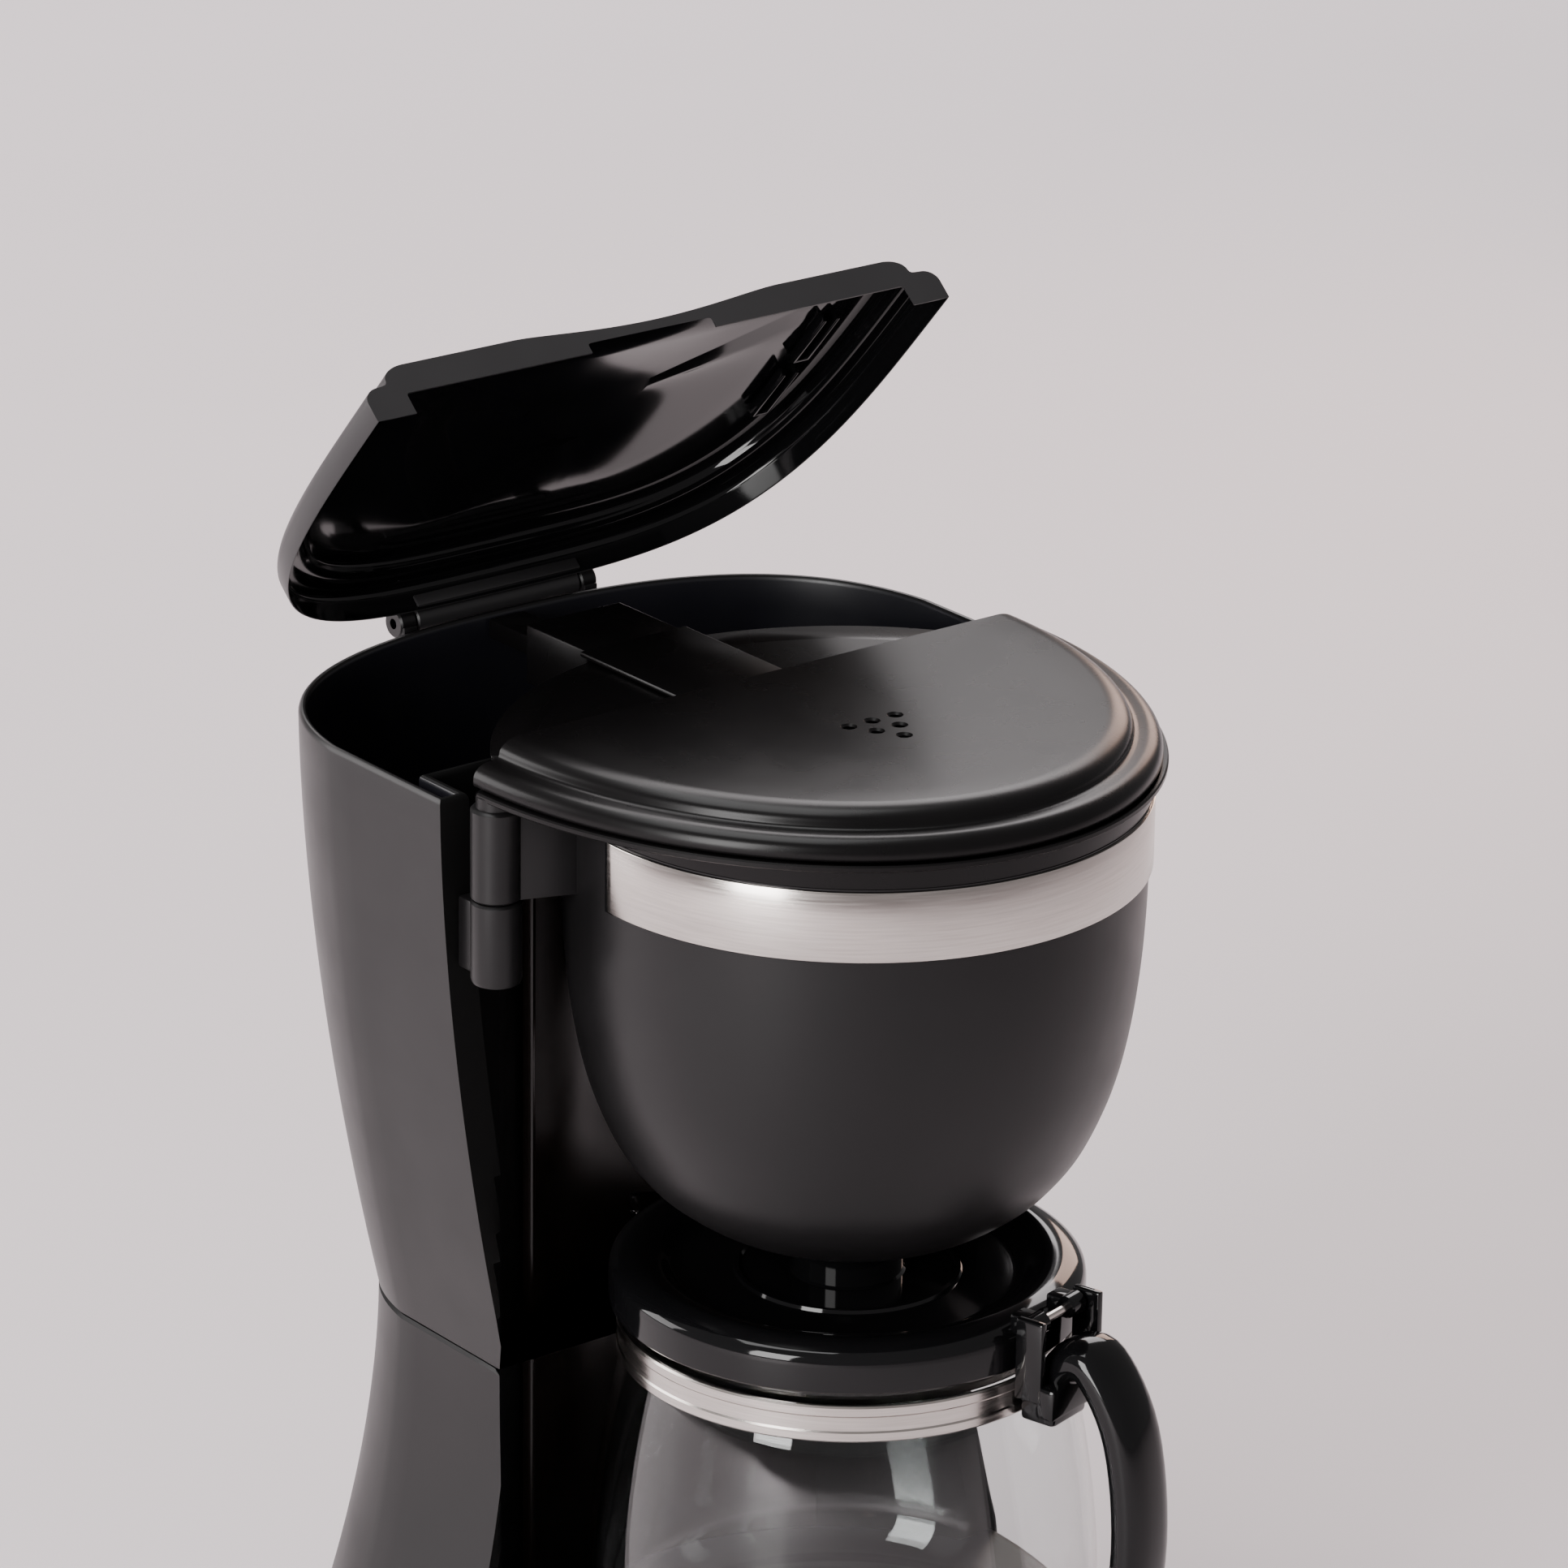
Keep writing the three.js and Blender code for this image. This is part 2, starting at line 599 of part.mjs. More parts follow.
function basketBowl() {
  const outside = bowlSide.map(([r, drop]) => [r, bowlTop - drop]);
  const inside = bowlSide.filter((_, i) => i % 2).map(([r, drop]) => [r - bowlWall, bowlTop - drop + 1.6]);
  const flange = [[bowlRadius + 2.2, bowlTop - 1.8], [bowlRadius + 2.2, bowlTop]];
  const floor = bowlBottom + bowlWall + 0.4;
  const profile = [
    [0, bowlBottom + 0.4], ...outside.slice(1).reverse(), [bowlRadius, bowlTop - 3.4], ...flange,
    [bowlRadius - bowlWall, bowlTop], ...inside, [bowlRadius - 55 - bowlWall, floor], [0, floor],
  ];
  const cup = solid(turned(profile, bowlSides));
  const neck = rod(knuckleRadius - 1.4, knuckleLow, bowlTop - 1, basketHinge.x, basketHinge.y, 24);
  const knuckle = join(
    rod(knuckleRadius, knuckleLow, rimHeight - gap, basketHinge.x, basketHinge.y, 24), neck,
  );
  const reach = basketHingeReach + 1;
  const arm = block(0, -4, knuckleLow, reach, 4, bowlTop - 1)
    .rotate([0, 0, THREE.MathUtils.radToDeg(Math.atan2(-basketHinge.y, -basketHinge.x))])
    .translate([basketHinge.x, basketHinge.y, 0]);
  const bandRoom = rod(bandOuter + 0.6, bandLow - gap, bandHigh + 2, 0, 0, bowlSides);
  const hingeSide = cut(arm, rod(bowlRadius - 1, 0, 500, 0, 0, bowlSides));
  const boreRadius = basketPinRadius + boreClearance;
  const bore = rod(boreRadius, 0, bowlTop - 4, basketHinge.x, basketHinge.y, 16);
  const drain = rod(drainRadius + gap, 0, bowlBottom + 20, 0, 0, 24);
  const plan = topSkin(bowlTop - 1, -flangeOverhang).intersect(ahead(coverBack - flangeSetBack));
  const layer = block(
    -everything, -everything, bowlTop - flangeThickness, everything, everything, bowlTop,
  );
  const slice = plan.translate([0, 0, -3]).intersect(layer);
  const plate = cut(slice, rod(bowlRadius - bowlWall, 0, 500, 0, 0, bowlSides));
  return cut(join(cut(cup, drain), cut(knuckle, bandRoom), hingeSide, plate), bore);
}

const drainRadius = 11;
add('basket_bowl', basketBowl(), satinBlack, basket);

// Half ring round the front of the bowl.
function steelBand() {
  const ring = cut(
    rod(bandOuter, bandLow, bandHigh, 0, 0, bowlSides),
    rod(bowlRadius + 0.3, 0, 500, 0, 0, bowlSides),
  );
  return ring.intersect(ahead(4));
}

add('steel_band', steelBand(), steel, basket);

const hingeLow = knuckleLow - 23;

function hingeBracket() {
  const top = knuckleLow - gap;
  const knuckle = rod(knuckleRadius, hingeLow, top, basketHinge.x, basketHinge.y, 24);
  const back = wingFront - gap;
  const plate = block(-halfWidth + 5, basketHinge.y, hingeLow, basketHinge.x + knuckleRadius, back, top);
  const boreRadius = basketPinRadius + boreClearance;
  const bore = rod(boreRadius, hingeLow + 3, top + 1, basketHinge.x, basketHinge.y, 16);
  return cut(join(knuckle, plate), bore);
}

add('hinge_bracket', hingeBracket(), satinBlack);
const basketPin = rod(
  basketPinRadius, hingeLow + 3.4, bowlTop - 4.4, basketHinge.x, basketHinge.y, 12,
);
add('basket_hinge_pin', basketPin, steel);

// ---- Filter basket and drip valve ----

const basketFloor = bowlBottom + bowlWall + 1.4;

function filterBasket() {
  const clear = bowlWall + 1.2;
  const outside = bowlSide.filter((_, i) => i % 2).map(([r, drop]) => [r - clear, bowlTop - drop + 2.6]);
  const inside = outside.map(([r, z]) => [r - 1.8, z + 1]);
  const profile = [
    [0, basketFloor], [bowlRadius - 56, basketFloor], ...outside.reverse(),
    [bowlRadius - clear, bowlTop - 2.5], [bowlRadius - clear - 1.8, bowlTop - 2.5], ...inside,
    [bowlRadius - 57, basketFloor + 2], [0, basketFloor + 2],
  ];
  const spout = cut(
    rod(drainRadius - 1, bowlBottom + 0.6, basketFloor + 1, 0, 0, 24),
    rod(7.6, 0, basketFloor - 0.2, 0, 0, 24),
  );
  return cut(join(solid(turned(profile, 32)), spout), rod(3.6, 0, 500, 0, 0, 16));
}

add('filter_basket', filterBasket(), mattBlack, basket);

const valveTip = plateTop + carafeHeight + 0.5;
const sealLow = basketFloor + 2 + gap;
const headLow = sealLow + 2 + gap;
const springLow = headLow + 2 + gap;
const springTop = springLow + 10;
const cageRadius = 12;

add('drip_plunger', turned([
  [0, valveTip], [5, valveTip], [6, valveTip + 0.8], [6, valveTip + 2], [3, valveTip + 2.4], [3, headLow],
  [6.5, headLow], [6.5, headLow + 2], [2.4, headLow + 2], [2.4, headLow + 4.5], [0, headLow + 4.5],
], 12), mattBlack, basket);

const sealProfile = [[3.4, sealLow], [8, sealLow], [8, sealLow + 2], [3.4, sealLow + 2]];
add('drip_seal', turned(sealProfile, 12), silicone, basket);

function dripSpring() {
  const turns = 3.5;
  const count = 42;
  const coil = Array.from({ length: count + 1 }, (_, i) => {
    const angle = (2 * Math.PI * turns * i) / count;
    const z = springLow + 0.6 + ((springTop - springLow - 1.2) * i) / count;
    return [4.4 * Math.cos(angle), 4.4 * Math.sin(angle), z];
  });
  return drawn(coil, 0.5, 0, 28, 4);
}

add('drip_spring', dripSpring(), steel, basket);

function valveCage() {
  const low = basketFloor + 2 + gap;
  const top = springTop + gap;
  const cup = turned([
    [cageRadius - 1.6, low], [cageRadius, low], [cageRadius, top + 1.6], [0, top + 1.6], [0, top],
    [cageRadius - 1.6, top],
  ], 16);
  const window = block(-4, -20, low + 2, 4, 20, top - 2);
  return cut(solid(cup), window, window.rotate([0, 0, 90]));
}

add('valve_cage', valveCage(), mattBlack, basket);

// ---- Heater, hot plate and hoses ----

add('hot_plate', turned([
  [plateRadius - 3, plateTop - 9.4], [plateRadius - 1.6, plateTop - 9.4],
  [plateRadius - 1.6, deckHeight + gap], [plateRadius + 4, deckHeight + gap],
  [plateRadius + 4, deckHeight + 1.3], [plateRadius, deckHeight + 1.3], [plateRadius - 1, plateTop],
  [0, plateTop], [0, plateTop - 1.4], [plateRadius - 3, plateTop - 1.4],
], 36), nonStick);

function heatingElement() {
  const bend = Array.from({ length: 13 }, (_, i) => {
    const angle = THREE.MathUtils.degToRad(60 - 25 * i);
    return [heaterRadius * Math.cos(angle), heaterRadius * Math.sin(angle), heaterZ];
  });
  const leg = (side) => [[side * portX, portY - 8, portZ], [side * portX, portY + 4, portZ]];
  return drawn([...leg(1).reverse(), ...bend, ...leg(-1)], tubeRadius - 0.4, 0, 24, 8);
}

add('heating_element', heatingElement(), aluminium);

const clampTop = heaterZ - tubeRadius;
add('heater_clamp', join(
  block(-heaterRadius - 8, -7, clampTop - 2, heaterRadius + 8, 7, clampTop),
  block(-9, -9, clampTop - 2, 9, 9, clampTop),
).subtract(rod(2.4, 0, 100, 0, 0, 12)), zinc);
add('clamp_screw', turned([
  [0, clampTop - 4.4], [4, clampTop - 4.4], [4, clampTop - 2 - gap], [2, clampTop - 2 - gap],
  [2, plateTop - 1.4 - gap], [0, plateTop - 1.4 - gap],
], 12), zinc);
add('thermostat', turned([
  [0, clampTop + gap], [6, clampTop + gap], [6, clampTop + 5], [7.5, clampTop + 5.4],
  [7.5, clampTop + 7], [0, clampTop + 7],
], 16), aluminium).position.set(16, 0, 0);
add('thermal_fuse', crossRod(2.2, -24, -12, 0, clampTop + gap + 2.4, 12), silicone);

add('riser_tube', solid(drawn(
  [[0, riserY, tankFloorHeight - 60], [0, riserY, tankFloorHeight], [0, riserY, headTop - 2]],
  tubeRadius, tubeRadius - 1.6, 3, 16,
)), mattBlack);

const grommetBore = clearing(tubeRadius + gap, 12);
add('riser_grommet', turned([
  [grommetBore, tankFloorHeight - 2], [tubeRadius + 5, tankFloorHeight - 2],
  [tubeRadius + 5, tankFloorHeight - gap], [tubeRadius + 2, tankFloorHeight - gap],
  [tubeRadius + 2, tankFloorHeight + wall + gap], [tubeRadius + 5, tankFloorHeight + wall + gap],
  [tubeRadius + 5, tankFloorHeight + wall + 2.5], [grommetBore, tankFloorHeight + wall + 2.5],
], 12), silicone).position.set(0, riserY, 0);

const hoseBore = tubeRadius + gap;
const hoseOuter = hoseBore + hoseWall;
const outletLift = tankFloorHeight - 48;
add('inlet_hose', drawn([
  [spigotX, riserY, tankFloorHeight - 3], [spigotX, riserY, tankFloorHeight - 20],
  [spigotX, riserY, tankFloorHeight - 75], [-34, riserY + 1, portZ + 26], [-27, riserY - 7, portZ + 4],
  [-portX, riserY - 26, portZ], [-portX, portY - 2, portZ],
], hoseOuter, hoseBore, 14, 8), silicone);
add('outlet_hose', drawn([
  [0, riserY, outletLift], [0, riserY, outletLift - 16], [4, riserY, tankFloorHeight - 95],
  [14, riserY + 1, portZ + 28], [20, riserY - 7, portZ + 4], [portX, riserY - 26, portZ],
  [portX, portY - 2, portZ],
], hoseOuter, hoseBore, 14, 8), silicone);
const valveLow = tankFloorHeight - 45;
add('check_valve', turned([
  [3, valveLow], [tubeRadius - 1, valveLow], [tubeRadius - 1, valveLow + 14], [3, valveLow + 14],
], 12), mattBlack).position.set(spigotX, riserY, 0);

// Clips sit round the hose ends: two upright ones and two on the heater's legs.
const clipSides = 12;
const clipInner = clearing(hoseOuter + gap, clipSides);
const clipProfile = [[clipInner, -3], [clipInner + 1.2, -3], [clipInner + 1.2, 3], [clipInner, 3]];
const clipPlaces = [
  { at: [spigotX, riserY, tankFloorHeight - 10], lying: false },
  { at: [0, riserY, outletLift - 5], lying: false },
  { at: [-portX, portY + 3, portZ], lying: true },
  { at: [portX, portY + 3, portZ], lying: true },
];
clipPlaces.forEach(({ at, lying }, i) => {
  const clip = add(`hose_clip_${i + 1}`, turned(clipProfile, clipSides), zinc);
  clip.position.set(...at);
  if (lying) clip.rotation.x = Math.PI / 2;
});

// ---- Switch and cord gland ----

const switchFace = -baseFront - 2;
const rockerAxisY = switchFace + 4;
add('switch_bezel', cut(
  join(
    block(-13, switchFace, switchZ - 11.5, 13, -baseFront - gap, switchZ + 11.5),
    block(-10, -baseFront - 1, switchZ - 9, 10, -baseFront + 11, switchZ + 9),
  ),
  block(-8.4, switchFace - 1, switchZ - 7.4, 8.4, -baseFront + 9, switchZ + 7.4),
), glossBlack);

const rocker = new THREE.Group();
rocker.position.set(0, rockerAxisY, switchZ);
rocker.rotation.x = THREE.MathUtils.degToRad(6);
machine.add(rocker);
const rockerFace = new THREE.Shape([
  new THREE.Vector2(4.6, -5.6), new THREE.Vector2(4.6, 5.6), new THREE.Vector2(-4.4, 6.2),
  new THREE.Vector2(-3.2, 0), new THREE.Vector2(-4.4, -6.2),
]);
const rockerBody = new THREE.ExtrudeGeometry(rockerFace, { depth: 16, bevelEnabled: false })
  .translate(0, 0, -8)
  .rotateY(Math.PI / 2)
  .rotateX(Math.PI / 2);
add('rocker_switch', rockerBody, glossBlack, rocker);

const glandOut = baseRear + gap;
add('cord_gland', turned([
  [3.4, -14], [glandRadius, -14], [glandRadius, 0], [glandRadius + 2.5, 0], [glandRadius + 2.5, 2], [6, 4],
  [5, 14], [3.4, 14],
], 12), rubber).position.set(0, glandOut, glandZ);
machine.getObjectByName('cord_gland').rotation.x = -Math.PI / 2;

// ---- Carafe ----

const carafe = new THREE.Group();
carafe.rotation.z = THREE.MathUtils.degToRad(carafeTurn);
machine.add(carafe);

const glassFoot = plateTop + 0.3;
const glassWall = 2;
const glassRim = plateTop + carafeHeight - 18;
const neckRadius = carafeLidRadius - 4;

const carafeSides = 32;

function carafeGlass() {
  const outside = [
    [0, glassFoot + 1], [carafeRadius - 20, glassFoot + 0.6], [carafeRadius - 17, glassFoot],
    [carafeRadius - 9, glassFoot + 2.5], [carafeRadius - 2.5, glassFoot + 11],
    [carafeRadius, glassFoot + 26], [carafeRadius - 0.6, glassFoot + 46],
    [carafeRadius - 3.4, glassFoot + 68], [neckRadius + 1, glassRim - 18], [neckRadius - 1, glassRim - 10],
    [neckRadius, glassRim],
  ];
  const inside = outside.slice(1).map(([r, z], i) => [r - glassWall, i < 3 ? z + glassWall : z]);
  const profile = [...outside, ...inside.reverse(), [0, glassFoot + 1 + glassWall]];
  return solid(turned(profile, carafeSides));
}

add('carafe_glass', carafeGlass(), clearGlass, carafe);

const collarLow = glassRim - 14;
const collarHigh = glassRim - 4;
const collarInner = neckRadius + 0.8;
const collarOuter = collarInner + 1.2;

add('carafe_collar', turned([
  [collarInner, collarLow], [collarOuter, collarLow], [collarOuter, collarHigh], [collarInner, collarHigh],
], carafeSides), steel, carafe);

// The lid turns back on a small pin at the handle's top; its spout faces away from the handle.
const lidPivotY = -carafeLidRadius - 3;
const lidPivotZ = plateTop + carafeHeight - 5;

const lidPinBore = crossRod(carafePinRadius + boreClearance, -20, 20, lidPivotY, lidPivotZ, 12);

function carafeLid() {
  const boss = plateTop + carafeHeight;
  const dish = boss - 12;
  const rim = boss - 5;
  const plug = neckRadius - glassWall - 0.8;
  const body = solid(turned([
    [plug - 0.6, glassRim - 5], [plug - 0.6, dish - 0.6], [0, dish - 0.6], [0, boss], [9, boss],
    [14.5, boss - 3], [14.5, dish + 2], [44, dish + 2], [50, rim - 0.6], [56, rim],
    [carafeLidRadius - 1, rim - 2], [carafeLidRadius, rim - 5], [carafeLidRadius, glassRim + gap],
    [plug, glassRim + gap], [plug, glassRim - 5],
  ].reverse(), carafeSides));
  const drip = rod(4.5, 0, 500, 0, 0, 12);
  const spout = solid(new THREE.ExtrudeGeometry(new THREE.Shape([
    new THREE.Vector2(-13, carafeLidRadius - 5), new THREE.Vector2(13, carafeLidRadius - 5),
    new THREE.Vector2(6, carafeLidRadius + 4), new THREE.Vector2(-6, carafeLidRadius + 4),
  ]), { depth: 8, bevelEnabled: false }).translate(0, 0, glassRim + gap + 3));
  const ears = [-1, 1].map((side) => crossRod(3, side * 8 - 3, side * 8 + 3, lidPivotY, lidPivotZ, 16)
    .add(block(side * 8 - 3, lidPivotY, lidPivotZ - 3, side * 8 + 3, lidPivotY + 6, lidPivotZ + 2)));
  return cut(join(cut(body, drip), spout, ...ears), lidPinBore);
}

add('carafe_lid', carafeLid(), glossBlack, carafe);
const carafePin = crossRod(carafePinRadius, -13.6, 13.6, lidPivotY, lidPivotZ, 12);
add('carafe_lid_pin', carafePin, steel, carafe);

function carafeHandle() {
  const top = lidPivotZ + 3.4;
  const grip = new THREE.CatmullRomCurve3([
    [3, collarLow + 5], [14, collarHigh + 8], [24, collarLow], [27, collarLow - 30],
    [22, collarLow - 60], [12, collarLow - 82],
  ].map(([out, z]) => new THREE.Vector3(0, lidPivotY - out, z)));
  const halfAcross = 9;
  const section = new THREE.Shape();
  section.absellipse(0, 0, 5.5, halfAcross, 0, 2 * Math.PI);
  const bow = solid(new THREE.ExtrudeGeometry(section, { steps: 12, extrudePath: grip, curveSegments: 4 }));
  const saddle = block(-7.5, lidPivotY - 6, collarLow - 1, 7.5, -collarOuter - gap, collarHigh + 1);
  const horns = [-1, 1].map((side) => block(
    side * 12.6 - 1.2, lidPivotY - 6, collarHigh - 2, side * 12.6 + 1.2, lidPivotY + 2.4, top,
  ));
  const bridge = block(-13.8, lidPivotY - 10, collarHigh - 6, 13.8, lidPivotY - 4.2, collarHigh + 3);
  const collarRoom = rod(collarOuter + gap, 0, 500, 0, 0, carafeSides);
  const lidRoom = rod(carafeLidRadius + gap, glassRim, 500, 0, 0, carafeSides);
  const screw = new THREE.CylinderGeometry(1.9, 1.9, 30, 12).translate(0, lidPivotY - 5, 0);
  const screwHole = solid(screw.translate(0, 0, collarLow + 5));
  return cut(join(bow, saddle, bridge, ...horns), collarRoom, lidRoom, lidPinBore, screwHole);
}

add('carafe_handle', carafeHandle(), glossBlack, carafe);

const screwBack = -collarOuter - 2 * gap;
add('collar_screw', solid(new THREE.CylinderGeometry(1.5, 1.5, 9, 10)
  .translate(0, screwBack - 4.5, collarLow + 5)), zinc, carafe);

// ---- Recentre the machine on its footprint ----

const box = new THREE.Box3().setFromObject(machine, true);
machine.position.set(-(box.min.x + box.max.x) / 2, -(box.min.y + box.max.y) / 2, 0);

export default machine;
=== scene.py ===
"""Drip coffee maker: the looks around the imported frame.

Shapes are written in millimetres about the brew axis, a vertical line through the spray head,
and are placed in the frame in metres. Heights are above the worktop.
"""
import json
import math

import bpy
from mathutils import Matrix, Vector


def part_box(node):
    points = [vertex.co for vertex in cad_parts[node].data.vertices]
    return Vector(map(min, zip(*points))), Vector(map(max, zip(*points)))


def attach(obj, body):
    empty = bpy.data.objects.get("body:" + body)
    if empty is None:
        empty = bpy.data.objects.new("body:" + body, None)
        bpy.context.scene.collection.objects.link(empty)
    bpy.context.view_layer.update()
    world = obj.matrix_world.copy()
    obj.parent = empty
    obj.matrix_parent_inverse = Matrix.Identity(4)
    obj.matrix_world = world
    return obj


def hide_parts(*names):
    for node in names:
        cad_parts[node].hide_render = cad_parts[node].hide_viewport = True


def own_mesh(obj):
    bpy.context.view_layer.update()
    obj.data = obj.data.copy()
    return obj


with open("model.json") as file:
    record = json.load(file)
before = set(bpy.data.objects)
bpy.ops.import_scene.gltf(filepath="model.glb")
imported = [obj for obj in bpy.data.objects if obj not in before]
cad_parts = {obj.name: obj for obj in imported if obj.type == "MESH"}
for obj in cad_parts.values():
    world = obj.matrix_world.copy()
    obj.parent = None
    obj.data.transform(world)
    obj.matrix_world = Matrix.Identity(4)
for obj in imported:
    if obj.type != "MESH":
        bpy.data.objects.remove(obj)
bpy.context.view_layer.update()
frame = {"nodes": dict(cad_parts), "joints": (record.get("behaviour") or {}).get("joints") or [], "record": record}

MM = 0.001


# ---- Places taken from the frame ----

def low(node):
    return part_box(node)[0] / MM


def high(node):
    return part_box(node)[1] / MM


JOINTS = {joint["name"]: joint for joint in frame["joints"]}
BREW_Y = ((low("spray_head") + high("spray_head")) / 2).y


def joint_point(name):
    """A hinge's point in millimetres about the brew axis."""
    return Vector(JOINTS[name]["pos_m"]) / MM - Vector((0, BREW_Y, 0))


LID_AXIS = joint_point("lid_hinge")
LID_OPEN = -JOINTS["lid_hinge"]["range_deg"][0]
HINGE = joint_point("basket_swing")
BAND_LOW = low("steel_band").z
BAND_HIGH = high("steel_band").z
BAND_RADIUS = high("steel_band").x
BOWL_TOP = high("basket_bowl").z
BOWL_BOTTOM = low("basket_bowl").z
COVER_LIP = low("front_cover").z
COVER_TOP = high("front_cover").z
COVER_HALF = high("front_cover").x
COVER_BACK = high("front_cover").y - BREW_Y
COVER_NOSE = BREW_Y - low("front_cover").y
HEAD_UNDER = low("spray_head").z
CHANNEL_TOP = high("water_channel").z
CHANNEL_HALF = high("water_channel").x
SEAM = low("upper_housing").z
HALF_WIDTH = high("upper_housing").x
RIM = LID_AXIS.z - 1
BODY_REAR = LID_AXIS.y - 3.5
FOOT = low("lower_housing").z
PLATE_TOP = high("hot_plate").z
DECK = PLATE_TOP - 2.4
HOT_PLATE = high("hot_plate").x - 4
GLASS_FOOT = low("carafe_glass").z
GLASS_RIM = high("carafe_glass").z
LID_BOSS = high("carafe_lid").z
COLLAR_LOW = low("carafe_collar").z
COLLAR_HIGH = high("carafe_collar").z
COLLAR = high("carafe_collar").x
KNUCKLE_LOW = high("hinge_bracket").z + 0.4
BRACKET_LOW = low("hinge_bracket").z

# ---- Driving sizes of the shapes ----

WALL = 2.4
COVER_WALL = 2.2
LID_REAR = BODY_REAR - 1.5
LID_SQUARENESS = 3.6
LID_FRONT = COVER_BACK + 0.8
LID_LIP = RIM + 0.4
APRON = 8.3
WING = 9
WING_FRONT = 44
POCKET = 60
BAY = 91
PANEL = 87
CREASE = BODY_REAR - 62
REAR_CENTRE = CREASE - 19.84
REAR_SQUARENESS = 2.6
WAIST_IN = 21
WAIST_REAR_IN = 14
BASE_HALF = 94
BASE_REAR = 150
BASE_NOSE = 86
TANK_FLOOR = 187.4
BOWL = 75.2
BOWL_WALL = 2.2
KNUCKLE = 6.6
CARAFE = 67.5
CARAFE_LID = 62.4
CARAFE_TURN = math.radians(15)
NECK = CARAFE_LID - 4
PIVOT_OUT = CARAFE_LID + 3
PIVOT_Z = LID_BOSS - 5
SIDE_POINTS = 6                   # along each straight side of the body
REAR_POINTS = 64                  # round its rear
LEDGE_REACH = math.radians(40)    # of the wall between tank and column, each way from the rear
PANEL_REACH = math.radians(34)
RIM_ROUND = 1.6                   # height of the tank rim's rounding
EYE_FROM, EYE_TO = 27.4, 32.6     # the hinge eyes, from the middle plane
BARREL = 4
BARREL_HALF = 27
STEAM_HOLE = 1.5
STEAM_PITCH = 7.5
STEAM_ROW = 6.5
SCOOP_HALF = 42
SCOOP_RUN = 30
SCOOP_DEPTH = 2.5
HAIRPIN_FROM, HAIRPIN_TO = 65, 69.5
HAIRPIN_HALF = 10
RIB_WALL = 1.1
DECK_ROUND = 4
FLAT_TOP = 15                     # covers' side to where their flat top starts
SWITCH_Z = 22
ROCKER_TILT = 6


# ---- Camera, light and floor ----

def look_from(azimuth, elevation, roll, distance, aim, shift_right, shift_up, lens):
    """Places a camera that sees a point off the middle of its picture."""
    turn, lift, tilt = (math.radians(a) for a in (azimuth, elevation, roll))
    back = Vector((math.sin(turn) * math.cos(lift), -math.cos(turn) * math.cos(lift), math.sin(lift)))
    level_right = Vector((math.cos(turn), math.sin(turn), 0))
    level_up = back.cross(level_right)
    right = level_right * math.cos(tilt) + level_up * math.sin(tilt)
    up = level_up * math.cos(tilt) - level_right * math.sin(tilt)
    data = bpy.data.cameras.new("camera")
    data.lens = lens
    data.sensor_width = 36
    camera = bpy.data.objects.new("camera", data)
    bpy.context.scene.collection.objects.link(camera)
    place = aim - right * shift_right - up * shift_up + back * distance
    turned_to = Matrix((right, up, back)).transposed().to_4x4()
    camera.matrix_world = Matrix.Translation(place) @ turned_to
    bpy.context.scene.camera = camera


look_from(-38.4, 20.6, 0.8, 1.8648, Vector((0, BREW_Y, BAND_LOW)) * MM, 0.01805, -0.01724, 167.7)


def area_light(name, place, aim, width, height, power, tint=(1, 1, 1)):
    data = bpy.data.lights.new(name, "AREA")
    data.shape = "RECTANGLE"
    data.size, data.size_y = width, height
    data.energy = power
    data.color = tint
    light = bpy.data.objects.new(name, data)
    light.location = place
    light.rotation_euler = (Vector(aim) - Vector(place)).to_track_quat("-Z", "Y").to_euler()
    bpy.context.scene.collection.objects.link(light)


area_light("key_left", (-1.6, -0.5, 0.75), (0, 0, 0.22), 0.6, 1.3, 38, (1, 0.985, 0.98))
area_light("rear_left", (-1.3, 1.5, 0.7), (0, 0, 0.2), 1.1, 1.1, 22, (1, 0.97, 0.97))
area_light("top_soft", (-0.2, 0.3, 1.9), (0, 0, 0.25), 1.2, 0.9, 16)
area_light("backdrop", (1.6, 2.6, 2.4), (1.6, 2.6, 0), 3.2, 2.6, 150, (1, 0.95, 0.96))
area_light("warm_right", (1.25, 0.75, 0.7), (0, 0, 0.28), 0.4, 0.5, 3.5, (1, 0.7, 0.58))

world = bpy.data.worlds.new("studio")
world.use_nodes = True
world.node_tree.nodes["Background"].inputs["Color"].default_value = (0.95, 0.91, 0.92, 1)
world.node_tree.nodes["Background"].inputs["Strength"].default_value = 0.3
bpy.context.scene.world = world


# ---- Materials ----

def new_material(name):
    material = bpy.data.materials.new(name)
    material.use_nodes = True
    return material, material.node_tree, material.node_tree.nodes["Principled BSDF"]


def noise(tree, scale, detail=3, stretch=None):
    """Noise on the piece's own coordinates; stretch makes its grain longer along an axis."""
    coordinates = tree.nodes.new("ShaderNodeTexCoord")
    texture = tree.nodes.new("ShaderNodeTexNoise")
    texture.inputs["Scale"].default_value = scale
    texture.inputs["Detail"].default_value = detail
    if stretch:
        mapping = tree.nodes.new("ShaderNodeMapping")
        mapping.inputs["Scale"].default_value = stretch
        tree.links.new(coordinates.outputs["Object"], mapping.inputs["Vector"])
        tree.links.new(mapping.outputs["Vector"], texture.inputs["Vector"])
    else:
        tree.links.new(coordinates.outputs["Object"], texture.inputs["Vector"])
    return texture.outputs["Fac"]


